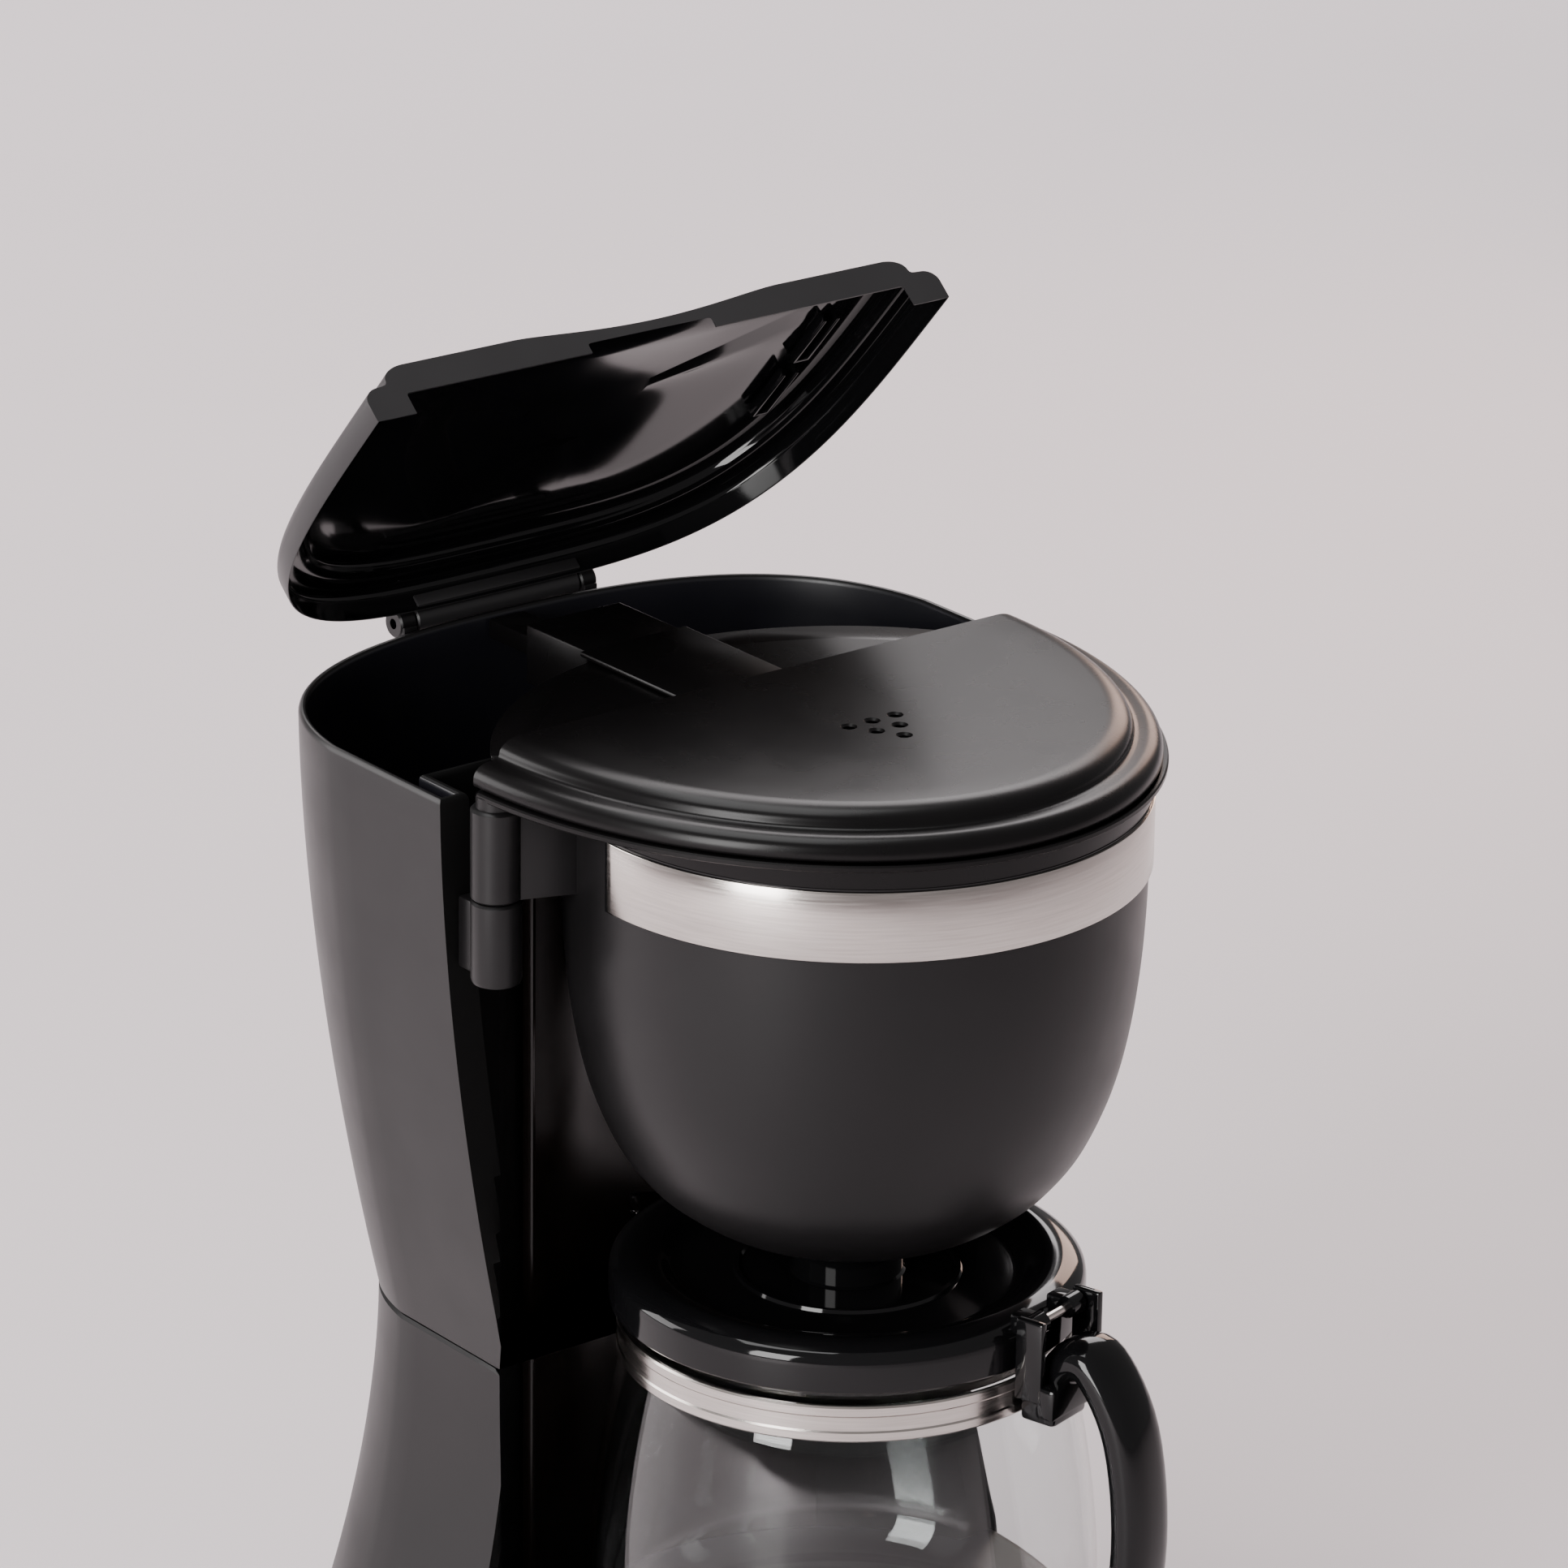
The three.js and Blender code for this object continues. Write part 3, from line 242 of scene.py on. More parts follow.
def spread(tree, value, lowest, highest):
    """Maps noise to a range of roughness."""
    node = tree.nodes.new("ShaderNodeMapRange")
    node.inputs["From Min"].default_value = 0.3
    node.inputs["From Max"].default_value = 0.7
    node.inputs["To Min"].default_value = lowest
    node.inputs["To Max"].default_value = highest
    tree.links.new(value, node.inputs["Value"])
    return node.outputs["Result"]


def tones(tree, value, dark, light):
    """Maps noise to a colour between two tones."""
    ramp = tree.nodes.new("ShaderNodeValToRGB")
    ramp.color_ramp.elements[0].color = (*dark, 1)
    ramp.color_ramp.elements[0].position = 0.3
    ramp.color_ramp.elements[1].color = (*light, 1)
    ramp.color_ramp.elements[1].position = 0.7
    tree.links.new(value, ramp.inputs["Fac"])
    return ramp.outputs["Color"]


def bump(tree, shader, value, strength, depth):
    node = tree.nodes.new("ShaderNodeBump")
    node.inputs["Strength"].default_value = strength
    node.inputs["Distance"].default_value = depth
    tree.links.new(value, node.inputs["Height"])
    tree.links.new(node.outputs["Normal"], shader.inputs["Normal"])


def plastic(name, dark, light, smoothest, roughest, grain=0.1, grain_scale=1800, gleam=0.5):
    material, tree, shader = new_material(name)
    mottle = noise(tree, 14)
    tree.links.new(tones(tree, mottle, dark, light), shader.inputs["Base Color"])
    tree.links.new(spread(tree, noise(tree, 40), smoothest, roughest), shader.inputs["Roughness"])
    shader.inputs["Specular IOR Level"].default_value = gleam
    if grain:
        bump(tree, shader, noise(tree, grain_scale, 2), grain, 0.00004)
    return material


def metal(name, dark, light, smoothest, roughest, stretch=None, grain=0.2, grain_scale=900):
    material, tree, shader = new_material(name)
    shader.inputs["Metallic"].default_value = 1
    fibre = noise(tree, grain_scale, 3, stretch)
    tree.links.new(tones(tree, fibre, dark, light), shader.inputs["Base Color"])
    tree.links.new(spread(tree, fibre, smoothest, roughest), shader.inputs["Roughness"])
    bump(tree, shader, fibre, grain, 0.00003)
    return material


SATIN = plastic("satin_black", (0.003, 0.0027, 0.0028), (0.0045, 0.004, 0.0042), 0.25, 0.3,
                grain=0.03, gleam=0.22)
BODY_SATIN = plastic("body_satin", (0.005, 0.0047, 0.005), (0.007, 0.0066, 0.007), 0.33, 0.41,
                     gleam=0.32)
# The lid's black plastic made lighter than the body's: painted light on the lid.
LID_PAINTED_LIGHT_SATIN = plastic("lid_satin_painted_light", (0.021, 0.02, 0.021), (0.026, 0.025, 0.026), 0.34, 0.42, 0.05, gleam=0.4)
# A darker, duller black than the body for the faces between the wings: painted shade.
PAINTED_SHADE_BLACK = plastic("painted_shade_black", (0.0025, 0.0025, 0.0025), (0.004, 0.004, 0.004), 0.5, 0.6, gleam=0.15)
GLOSS = plastic("gloss_black", (0.003, 0.003, 0.0033), (0.0045, 0.0045, 0.005), 0.05, 0.1, 0, gleam=0.35)
BROWN = plastic("gloss_brown", (0.012, 0.008, 0.0065), (0.016, 0.0105, 0.0085), 0.18, 0.26, 0)
TANK = plastic("tank_inside", (0.006, 0.006, 0.0085), (0.009, 0.009, 0.013), 0.3, 0.4, 0.05)
MATT = plastic("matt_black", (0.016, 0.016, 0.016), (0.022, 0.022, 0.022), 0.55, 0.7, 0.25, 1200)
RUBBER = plastic("rubber", (0.012, 0.012, 0.012), (0.02, 0.02, 0.02), 0.75, 0.9, 0.3, 900)
SILICONE = plastic("silicone", (0.62, 0.6, 0.55), (0.7, 0.68, 0.62), 0.45, 0.55, 0.1, 900)
COATED = plastic("non_stick", (0.014, 0.014, 0.015), (0.026, 0.026, 0.028), 0.3, 0.45, 0.3, 1500)
STEEL = metal("brushed_steel", (0.6, 0.555, 0.52), (0.72, 0.675, 0.635), 0.16, 0.25, (1, 1, 30), 0.03, 60)
ZINC = metal("zinc_plate", (0.5, 0.51, 0.53), (0.66, 0.67, 0.69), 0.3, 0.45)
ALUMINIUM = metal("cast_aluminium", (0.55, 0.56, 0.57), (0.7, 0.71, 0.72), 0.4, 0.55)


def glass(name):
    material, tree, shader = new_material(name)
    shader.inputs["Base Color"].default_value = (0.96, 0.98, 0.98, 1)
    shader.inputs["Transmission Weight"].default_value = 1
    shader.inputs["IOR"].default_value = 1.47
    tree.links.new(spread(tree, noise(tree, 25), 0.0, 0.03), shader.inputs["Roughness"])
    return material


GLASS = glass("clear_glass")

NODE_FINISH = {
    "satin_black": SATIN, "gloss_black": GLOSS, "gloss_brown": BROWN, "matt_black": MATT,
    "brushed_steel": STEEL, "zinc": ZINC, "aluminium": ALUMINIUM, "silicone": SILICONE,
    "rubber": RUBBER, "non_stick": COATED, "clear_glass": GLASS,
}
SLOTS = {part["node"]: part["material_slot"] for part in frame["record"]["subparts"]}
BODIES = {node: body for body, nodes in frame["record"]["behaviour"]["bodies"].items() for node in nodes}
for node, slot in SLOTS.items():
    frame["nodes"][node].data.materials.clear()
    frame["nodes"][node].data.materials.append(NODE_FINISH[slot])


# ---- Modelling tools ----

def deselect():
    if bpy.context.object and bpy.context.object.mode != "OBJECT":
        bpy.ops.object.mode_set(mode="OBJECT")
    bpy.ops.object.select_all(action="DESELECT")


def only(piece):
    deselect()
    piece.select_set(True)
    bpy.context.view_layer.objects.active = piece


def at(x, y, z):
    """A place about the brew axis, in the frame's metres."""
    return (x * MM, (y + BREW_Y) * MM, z * MM)


def set_down(piece, name):
    """Names a piece and moves its place into its mesh."""
    piece.name = name
    only(piece)
    bpy.ops.object.transform_apply(location=True, rotation=True, scale=True)
    return piece


def closed(piece):
    """Fills the open ends of a piece and turns its faces outwards."""
    only(piece)
    bpy.ops.object.mode_set(mode="EDIT")
    bpy.ops.mesh.select_all(action="SELECT")
    bpy.ops.mesh.remove_doubles(threshold=0.000001)
    bpy.ops.mesh.fill_holes(sides=0)
    bpy.ops.mesh.select_all(action="SELECT")
    bpy.ops.mesh.normals_make_consistent(inside=False)
    bpy.ops.object.mode_set(mode="OBJECT")
    return piece


def turned(name, profile, x=0, y=0, sides=96):
    """A round piece drawn up ring by ring along (radius, height) steps; it closes on itself."""
    deselect()
    steps = [(max(radius, 0.01), z) for radius, z in profile]
    radius, z = steps[0]
    bpy.ops.mesh.primitive_circle_add(vertices=sides, radius=radius * MM, location=at(x, y, z))
    piece = bpy.context.object
    bpy.ops.object.mode_set(mode="EDIT")
    bpy.ops.mesh.select_all(action="SELECT")
    for (radius, z), (next_radius, next_z) in zip(steps, steps[1:]):
        rise = (0, 0, (next_z - z) * MM)
        bpy.ops.mesh.extrude_region_move(TRANSFORM_OT_translate={"value": rise})
        grow = next_radius / radius
        bpy.ops.transform.resize(value=(grow, grow, 1), center_override=at(x, y, next_z))
    bpy.ops.object.mode_set(mode="OBJECT")
    return closed(set_down(piece, name))


def ring_of(piece, points):
    """Moves the selected ring of vertices onto points about the brew axis."""
    fresh = [vertex for vertex in piece.data.vertices if vertex.select]
    for vertex, point in zip(fresh, points):
        vertex.co = at(*point)


def lofted(name, rings, open_ends=False):
    """An outline drawn on through others with as many points; its ends are filled in."""
    deselect()
    bpy.ops.mesh.primitive_circle_add(vertices=len(rings[0]), radius=1)
    piece = bpy.context.object
    for vertex in piece.data.vertices:
        vertex.select = True
    ring_of(piece, rings[0])
    for ring in rings[1:]:
        bpy.ops.object.mode_set(mode="EDIT")
        bpy.ops.mesh.extrude_region_move()
        bpy.ops.object.mode_set(mode="OBJECT")
        ring_of(piece, ring)
    piece.name = name
    if not open_ends:
        closed(piece)
    return piece


def modified(piece, kind, **settings):
    only(piece)
    modifier = piece.modifiers.new(kind.lower(), kind)
    for key, value in settings.items():
        setattr(modifier, key, value)
    bpy.ops.object.modifier_apply(modifier=modifier.name)
    return piece


def bevelled(piece, width, segments=2, angle=32):
    return modified(piece, "BEVEL", width=width * MM, segments=segments, limit_method="ANGLE",
                    angle_limit=math.radians(angle), use_clamp_overlap=True)


def cut(piece, *tools):
    for tool in tools:
        modified(piece, "BOOLEAN", operation="DIFFERENCE", object=tool, solver="EXACT")
        bpy.data.objects.remove(tool)
    return piece


def together(name, *pieces):
    """Pieces moulded as one."""
    deselect()
    for piece in pieces:
        piece.select_set(True)
    bpy.context.view_layer.objects.active = pieces[0]
    bpy.ops.object.join()
    pieces[0].name = name
    return pieces[0]


def block(name, x0, y0, z0, x1, y1, z1, round_over=0.0, segments=2):
    """A block between two corners, its edges rounded over."""
    deselect()
    middle = at((x0 + x1) / 2, (y0 + y1) / 2, (z0 + z1) / 2)
    bpy.ops.mesh.primitive_cube_add(size=1, location=middle)
    piece = bpy.context.object
    bpy.ops.object.mode_set(mode="EDIT")
    size = (abs(x1 - x0) * MM, abs(y1 - y0) * MM, abs(z1 - z0) * MM)
    bpy.ops.transform.resize(value=size, center_override=middle)
    if round_over:
        bpy.ops.mesh.bevel(offset=round_over * MM, segments=segments, affect="EDGES")
    bpy.ops.object.mode_set(mode="OBJECT")
    return set_down(piece, name)


def lying_rod(name, radius, x0, x1, y, z, sides=40, round_over=0.5):
    """A rod along X with rounded ends."""
    steps = [(x0, radius - round_over), (x0 + round_over, radius),
             (x1 - round_over, radius), (x1, radius - round_over)]
    rings = [[(x, y + r * math.cos(math.tau * i / sides), z + r * math.sin(math.tau * i / sides))
              for i in range(sides)] for x, r in steps]
    return lofted(name, rings)


def turned_about(piece, axis_point, axis, degrees):
    """Turns a piece's mesh about an axis through a point about the brew axis."""
    centre = Vector(at(*axis_point))
    turn = Matrix.Rotation(math.radians(degrees), 4, axis)
    piece.data.transform(Matrix.Translation(centre) @ turn @ Matrix.Translation(-centre))
    return piece


def finished(piece, nodes, material, angle=35):
    """Shades the piece smooth, gives it the material if it has none, rides it on the body of the nodes it stands
    for and hides them.
    """
    only(piece)
    bpy.ops.object.shade_smooth_by_angle(angle=math.radians(angle))
    if not piece.data.materials:
        piece.data.materials.append(material)
    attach(piece, BODIES[nodes[0]])
    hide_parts(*nodes)
    return piece


def signed_power(value, power):
    return math.copysign(abs(value) ** power, value)


def smooth_path(points, steps=8):
    """Points on a smooth curve through the given ones."""
    path = []
    for i in range(len(points) - 1):
        before = Vector(points[max(i - 1, 0)])
        start, end = Vector(points[i]), Vector(points[i + 1])
        after = Vector(points[min(i + 2, len(points) - 1)])
        for k in range(steps):
            t = k / steps
            path.append(tuple(0.5 * (2 * start + (end - before) * t
                              + (2 * before - 5 * start + 4 * end - after) * t * t
                              + (3 * start - before - 3 * end + after) * t ** 3)))
    path.append(tuple(points[-1]))
    return path


# ---- Body outlines ----

def drawn_in(z):
    return (max(0.0, RIM - z) / (RIM - SEAM)) ** 1.75 if z >= SEAM else 1.0


def body_size(z):
    """Half width and rear of the body at a height."""
    flare = min(1, max(0, (SEAM - z) / (SEAM - DECK))) ** 1.8
    half = HALF_WIDTH - WAIST_IN * drawn_in(z)
    rear = BODY_REAR - WAIST_REAR_IN * drawn_in(z)
    half += (BASE_HALF - HALF_WIDTH + WAIST_IN) * flare
    rear += (BASE_REAR - BODY_REAR + WAIST_REAR_IN) * flare
    return half, rear


def rear_curve(half, rear, count=REAR_POINTS):
    """The rounded rear from the right crease to the left one."""
    depth = rear - REAR_CENTRE
    share = ((CREASE - REAR_CENTRE) / depth) ** REAR_SQUARENESS
    at_crease = (1 - share) ** (1 / REAR_SQUARENESS)
    start = math.acos(at_crease ** (REAR_SQUARENESS / 2))
    power = 2 / REAR_SQUARENESS
    points = []
    for i in range(count + 1):
        angle = start + (math.pi - 2 * start) * i / count
        points.append((half / at_crease * signed_power(math.cos(angle), power),
                       REAR_CENTRE + depth * math.sin(angle) ** power))
    return points


def bay_depth(x):
    return math.sqrt(max(0.0, BAY ** 2 - x * x))


OUTSIDE_COUNT = SIDE_POINTS + REAR_POINTS + 1 + SIDE_POINTS - 1


def body_section(z, winged):
    """The body's outline at one height, anticlockwise from the front of the right side."""
    half, rear = body_size(z)
    front = max(WING_FRONT, bay_depth(half))
    side = [(half, front + (CREASE - front) * i / SIDE_POINTS) for i in range(SIDE_POINTS)]
    other = [(-x, y) for x, y in reversed(side)]
    inner = half - WING if winged else half - 3
    pocket = POCKET if winged else WING_FRONT
    arc_end = math.sqrt(BAY ** 2 - POCKET ** 2)
    corner = []
    for i in range(1, 5):
        x = half - (half - inner) * i / 4
        corner.append((-x, max(WING_FRONT, bay_depth(x))))
    for i in range(7):
        x = inner - (inner - arc_end) * i / 6
        corner.append((-x, max(pocket, bay_depth(x)) if i < 6 else POCKET))
    reach = math.asin(arc_end / BAY)
    arc = [(BAY * math.sin(a), BAY * math.cos(a)) for a in
           (-reach + 2 * reach * i / 40 for i in range(1, 40))]
    mirrored = [(-x, y) for x, y in reversed(corner)]
    return [*side, *rear_curve(half, rear), *other, *corner, *arc, *mirrored]


def inset_outline(points, distance):
    """Moves a closed outline inwards by a distance, each corner along its bisector."""
    moved = []
    for i, (x, y) in enumerate(points):
        before = Vector(points[i]) - Vector(points[i - 1])
        after = Vector(points[(i + 1) % len(points)]) - Vector(points[i])
        before = before if before.length > 1e-6 else after
        after = after if after.length > 1e-6 else before
        left_before = Vector((-before.y, before.x)).normalized()
        left_after = Vector((-after.y, after.x)).normalized()
        along = left_before + left_after
        along = along.normalized() if along.length > 1e-6 else left_before
        stretch = 1 / max(0.35, along.dot(left_before))
        moved.append((x + along.x * distance * stretch, y + along.y * distance * stretch))
    return moved


def level(outline, z):
    return [(x, y, z) for x, y in outline]


def sector(inner, outer, reach, count=48):
    """A band of a ring round the brew axis, centred on the rear, as an outline."""
    angles = [-reach + 2 * reach * i / count for i in range(count + 1)]
    return [(outer * math.sin(a), outer * math.cos(a)) for a in reversed(angles)] \
        + [(inner * math.sin(a), inner * math.cos(a)) for a in angles]


def paint_shade_between_wings(shell, across):
    """Gives the faces between the wings the second material, a darker and duller black: painted shade between the
    wings.
    """
    for face in shell.data.polygons:
        if min(i % across for i in face.vertices) >= OUTSIDE_COUNT and len(face.vertices) == 4:
            face.material_index = 1


# ---- Upper housing ----

def make_upper_housing():
    walls = RIM - RIM_ROUND - SEAM - 0.8
    heights = [SEAM + 0.8 + walls * i / 20 for i in range(21)]
    rings = [level(inset_outline(body_section(SEAM, True), 0.8), SEAM)]
    rings += [level(body_section(z, True), z) for z in heights]
    rounded_rim = [(0.25, 0.7), (0.7, 0.15), (1.2, 0), (1.7, 0.15), (2.15, 0.7),
                   (WALL, RIM_ROUND)]
    top = body_section(RIM, True)
    rings += [level(inset_outline(top, inset), RIM - drop) for inset, drop in rounded_rim]
    for i in range(1, 15):
        z = RIM - RIM_ROUND - (RIM - RIM_ROUND - TANK_FLOOR) * i / 14
        rings.append(level(inset_outline(body_section(z, True), WALL), z))
    shell = lofted("shell", rings, open_ends=True)
    across = len(rings[0])
    inside_from = (len(heights) + len(rounded_rim) - 1) * across
    for material in (BODY_SATIN, PAINTED_SHADE_BLACK, TANK):
        shell.data.materials.append(material)
    paint_shade_between_wings(shell, across)
    for face in shell.data.polygons:
        if min(face.vertices) >= inside_from:
            face.material_index = 2
    closed(shell)
    ledge = sector(BAY, BAY + WALL, LEDGE_REACH)
    wall = lofted("wall", [level(ledge, RIM - 3), level(ledge, COVER_LIP)])
    parts = [shell, bevelled(wall, 0.4)]
    for side in (-1, 1):
        x0, x1 = sorted((side * EYE_FROM, side * EYE_TO))
        parts.append(lying_rod("eye", BARREL, x0, x1, LID_AXIS.y, LID_AXIS.z))
        parts.append(block("web", x0 + 0.4, BODY_REAR - 1.2, RIM - 9, x1 - 0.4, LID_AXIS.y,
                           LID_AXIS.z, 0.6))
    for part in parts[1:]:
        part.data.materials.append(BODY_SATIN)
    finished(together("upper_housing_shell", *parts), ["upper_housing"], BODY_SATIN, 28)


make_upper_housing()


# ---- Lower housing ----

def base_outline(inset):
    side, nose = BASE_HALF - inset, BASE_NOSE + COVER_BACK - inset
    front = [(side * math.cos(a), COVER_BACK + nose * math.sin(a))
             for a in (math.pi + math.pi * i / 56 for i in range(57))]
    return [*front, *rear_curve(side, BASE_REAR - inset)]


def make_lower_housing():
    top = SEAM - 0.4
    rounding = [(DECK_ROUND * (1 - math.cos(a)), DECK_ROUND * (1 - math.sin(a))) for a in
                (math.pi / 2 * i / 6 for i in range(7))]
    rings = [level(base_outline(0.6), FOOT), level(base_outline(0), FOOT + 0.8)]
    rings += [level(base_outline(inset), DECK - drop) for inset, drop in rounding]
    base = lofted("base", rings)
    plate_room = turned("plate_room", [(0, FOOT + 4), (62, FOOT + 4), (62, DECK + 1), (0, DECK + 1)])
    switch_room = block("switch_room", -10.3, -BASE_NOSE - 5, 12.6, 10.3, -BASE_NOSE + 12, 31.4)
    cut(base, plate_room, switch_room)
    heights = [DECK - 3 + (top - 0.8 - DECK + 3) * i / 16 for i in range(17)]
    rings = [level(body_section(z, False), z) for z in heights]
    rings.append(level(inset_outline(body_section(top, False), 0.8), top))
    column = lofted("column", rings, open_ends=True)
    column.data.materials.append(BODY_SATIN)
    column.data.materials.append(PAINTED_SHADE_BLACK)
    paint_shade_between_wings(column, len(rings[0]))
    closed(column)
    base.data.materials.append(BODY_SATIN)
    finished(together("lower_housing_shell", base, column), ["lower_housing"], BODY_SATIN, 28)


make_lower_housing()


# ---- Column panel ----

def make_column_panel():
    outline = sector(PANEL, BAY - 0.6, PANEL_REACH)
    bottom, top = low("column_panel").z, high("column_panel").z
    panel = lofted("column_panel_shell", [level(outline, bottom), level(outline, top)])
    finished(bevelled(panel, 0.9), ["column_panel"], BROWN, 25)


make_column_panel()


# ---- Front cover and lid ----

def quarter(start, end, steps, flat_first):
    """A quarter ellipse between two (inset, height) points, level at its first or last end."""
    points = []
    for i in range(steps + 1):
        a = math.pi / 2 * i / steps
        across, down = (math.sin(a), 1 - math.cos(a)) if flat_first else (1 - math.cos(a), math.sin(a))
        points.append((start[0] + (end[0] - start[0]) * across,
                       start[1] + (end[1] - start[1]) * down))
    return points


def rim_profile(lip):
    """The two beads round the covers, from the lip up to the flat top: (inset, height)."""
    skirt = [(0.2, lip), (0, lip + 0.3), (0, COVER_LIP + 1.6)]
    lower_bead = quarter((4.6, COVER_LIP + 5.5), (0, COVER_LIP + 1.6), 10, True)[::-1][1:]
    ledge = [(6.2, COVER_LIP + 5.6), (7.2, COVER_LIP + 5.75), (7.75, COVER_LIP + 6.1)]
    upper_bead = quarter((FLAT_TOP, COVER_TOP), (8, COVER_LIP + 6.7), 12, True)[::-1]
    return [*skirt, *lower_bead, *ledge, *upper_bead]


def half_plan(rear, edge, inset, count=96):
    """Half of the covers' plan, from its right end round to its left, then back along the edge."""
    half = COVER_HALF - inset
    depth = (LID_REAR - edge if rear else COVER_NOSE + edge) - inset
    power = 2 / LID_SQUARENESS if rear else 1
    way = 1 if rear else -1
    round_part = []
    for i in range(count + 1):
        share = i / count
        a = math.pi * (share - 0.06 * math.sin(math.tau * share))
        round_part.append((half * signed_power(math.cos(a), power),
                           edge + way * depth * abs(math.sin(a)) ** power))
    straight = [(-half + 2 * half * i / 48, edge) for i in range(1, 48)]
    return [*round_part, *straight]


def half_cover(name, rear, edge, lip, dip=lambda x, y, z: 0.0):
    """A domed shell over half the plan, with a wall along its straight edge.

    dip says how far the surface is pressed in at a place.
    """
    rings = []
    for inset, z in rim_profile(lip):
        rings.append([(x, y, z - dip(x, y, z)) for x, y in half_plan(rear, edge, inset)])
    last = half_plan(rear, edge, FLAT_TOP)
    middle = Vector((0, edge + (0.42 if rear else -0.42) * (LID_REAR - edge)))
    for share in (0.85, 0.7, 0.55, 0.4, 0.25):
        ring = [tuple(middle + (Vector(point) - middle) * share) for point in last]
        rings.append([(x, y, COVER_TOP - dip(x, y, COVER_TOP)) for x, y in ring])
    dome = lofted(name, rings, open_ends=True)
    only(dome)
    last_ring = len(dome.data.vertices) - len(rings[0])
    for vertex in dome.data.vertices:
        vertex.select = vertex.index >= last_ring
    bpy.ops.object.mode_set(mode="EDIT")
    bpy.ops.mesh.edge_face_add()
    bpy.ops.mesh.select_all(action="SELECT")
    bpy.ops.mesh.remove_doubles(threshold=0.000005)
    bpy.ops.mesh.normals_make_consistent(inside=False)
    bpy.ops.object.mode_set(mode="OBJECT")
    return dome


def walled(dome, outside):
    """Gives a dome its wall; the inside takes the second material."""
    dome.data.materials.append(outside)
    dome.data.materials.append(GLOSS)
    return modified(dome, "SOLIDIFY", thickness=COVER_WALL * MM, offset=-1, use_even_offset=True,
                    thickness_clamp=1.2, material_offset=1, use_quality_normals=True)


def make_front_cover():
    cover = walled(half_cover("front_cover_shell", False, COVER_BACK, COVER_LIP), SATIN)
    holes = []
    for row in range(3):
        for i in range(3 - row):
            x = (i - (2 - row) / 2) * STEAM_PITCH
            holes.append(turned("hole", [(STEAM_HOLE, COVER_TOP - 5), (STEAM_HOLE, COVER_TOP - 0.7),
                                         (STEAM_HOLE + 0.8, COVER_TOP + 0.1),
                                         (STEAM_HOLE + 0.8, COVER_TOP + 2)],
                                x, -6 - row * STEAM_ROW, 24))
    way = block("way", -CHANNEL_HALF - 0.4, COVER_BACK - 5, COVER_LIP - 1, CHANNEL_HALF + 0.4,
                COVER_BACK + 2, CHANNEL_TOP + 0.4)
    cut(cover, *holes, way)
    finished(cover, ["front_cover"], SATIN, 38)


make_front_cover()


def thumb_scoop(x, y, z):
    """The shallow scoop in the middle of the lid's front edge."""
    near_top = max(0.0, min(1.0, (z - COVER_LIP - 6) / 4))
    across = max(0.0, 1 - (x / SCOOP_HALF) ** 2)
    behind = max(0.0, 1 - (y - LID_FRONT) / SCOOP_RUN)
    return SCOOP_DEPTH * near_top * across ** 1.5 * behind ** 2


def make_tank_lid():
    lid = walled(half_cover("lid", True, LID_FRONT, LID_LIP, thumb_scoop), LID_PAINTED_LIGHT_SATIN)
    bottom = COVER_TOP - APRON
    full = COVER_HALF - 12
    mouth = block("mouth", -full, LID_FRONT - 1, LID_LIP - 9, full, LID_FRONT + COVER_WALL + 1,
                  bottom, 0.8)
    notch = block("notch", -CHANNEL_HALF - 4.5, LID_FRONT - 1, bottom - 6, CHANNEL_HALF + 0.5,
                  LID_FRONT + COVER_WALL + 1, bottom + 3, 0.8)
    cut(lid, mouth, notch)
    barrel = lying_rod("barrel", BARREL, -BARREL_HALF, BARREL_HALF, LID_AXIS.y, LID_AXIS.z)
    web = block("web", -BARREL_HALF, LID_REAR - 1.6, LID_AXIS.z + 0.4, BARREL_HALF, LID_AXIS.y,
                LID_AXIS.z + 3.9, 0.5)
    ribs = []
    for y in (66, 92):
        for x in (HAIRPIN_FROM, HAIRPIN_TO):
            ribs.append(block("rib", x, y - HAIRPIN_HALF, COVER_TOP - 5, x + RIB_WALL,
                              y + HAIRPIN_HALF, COVER_TOP - 2, 0.4))
        ribs.append(block("rib", HAIRPIN_FROM, y + HAIRPIN_HALF - 1, COVER_TOP - 5,
                          HAIRPIN_TO + RIB_WALL, y + HAIRPIN_HALF + 0.1, COVER_TOP - 2, 0.4))
    for part in (barrel, web):
        part.data.materials.append(LID_PAINTED_LIGHT_SATIN)
    for part in ribs:
        part.data.materials.append(GLOSS)
    whole = together("tank_lid_shell", lid, barrel, web, *ribs)
    turned_about(whole, LID_AXIS, "X", -LID_OPEN)
    finished(whole, ["tank_lid"], SATIN, 38)


make_tank_lid()


# ---- Brew bowl, its band and its hinge ----

BOWL_SIDE = [(BOWL, 26.7), (BOWL - 0.35, 40), (BOWL - 1.3, 54.3), (BOWL - 3, 68), (BOWL - 5.4, 80.3),
             (BOWL - 8.8, 91.3), (BOWL - 14, 102.8), (BOWL - 20, 111.1), (BOWL - 25.4, 116.3),
             (BOWL - 34.6, 122.6), (BOWL - 45.4, 127.2), (BOWL - 55, 128.7)]
DRAIN = 11.4


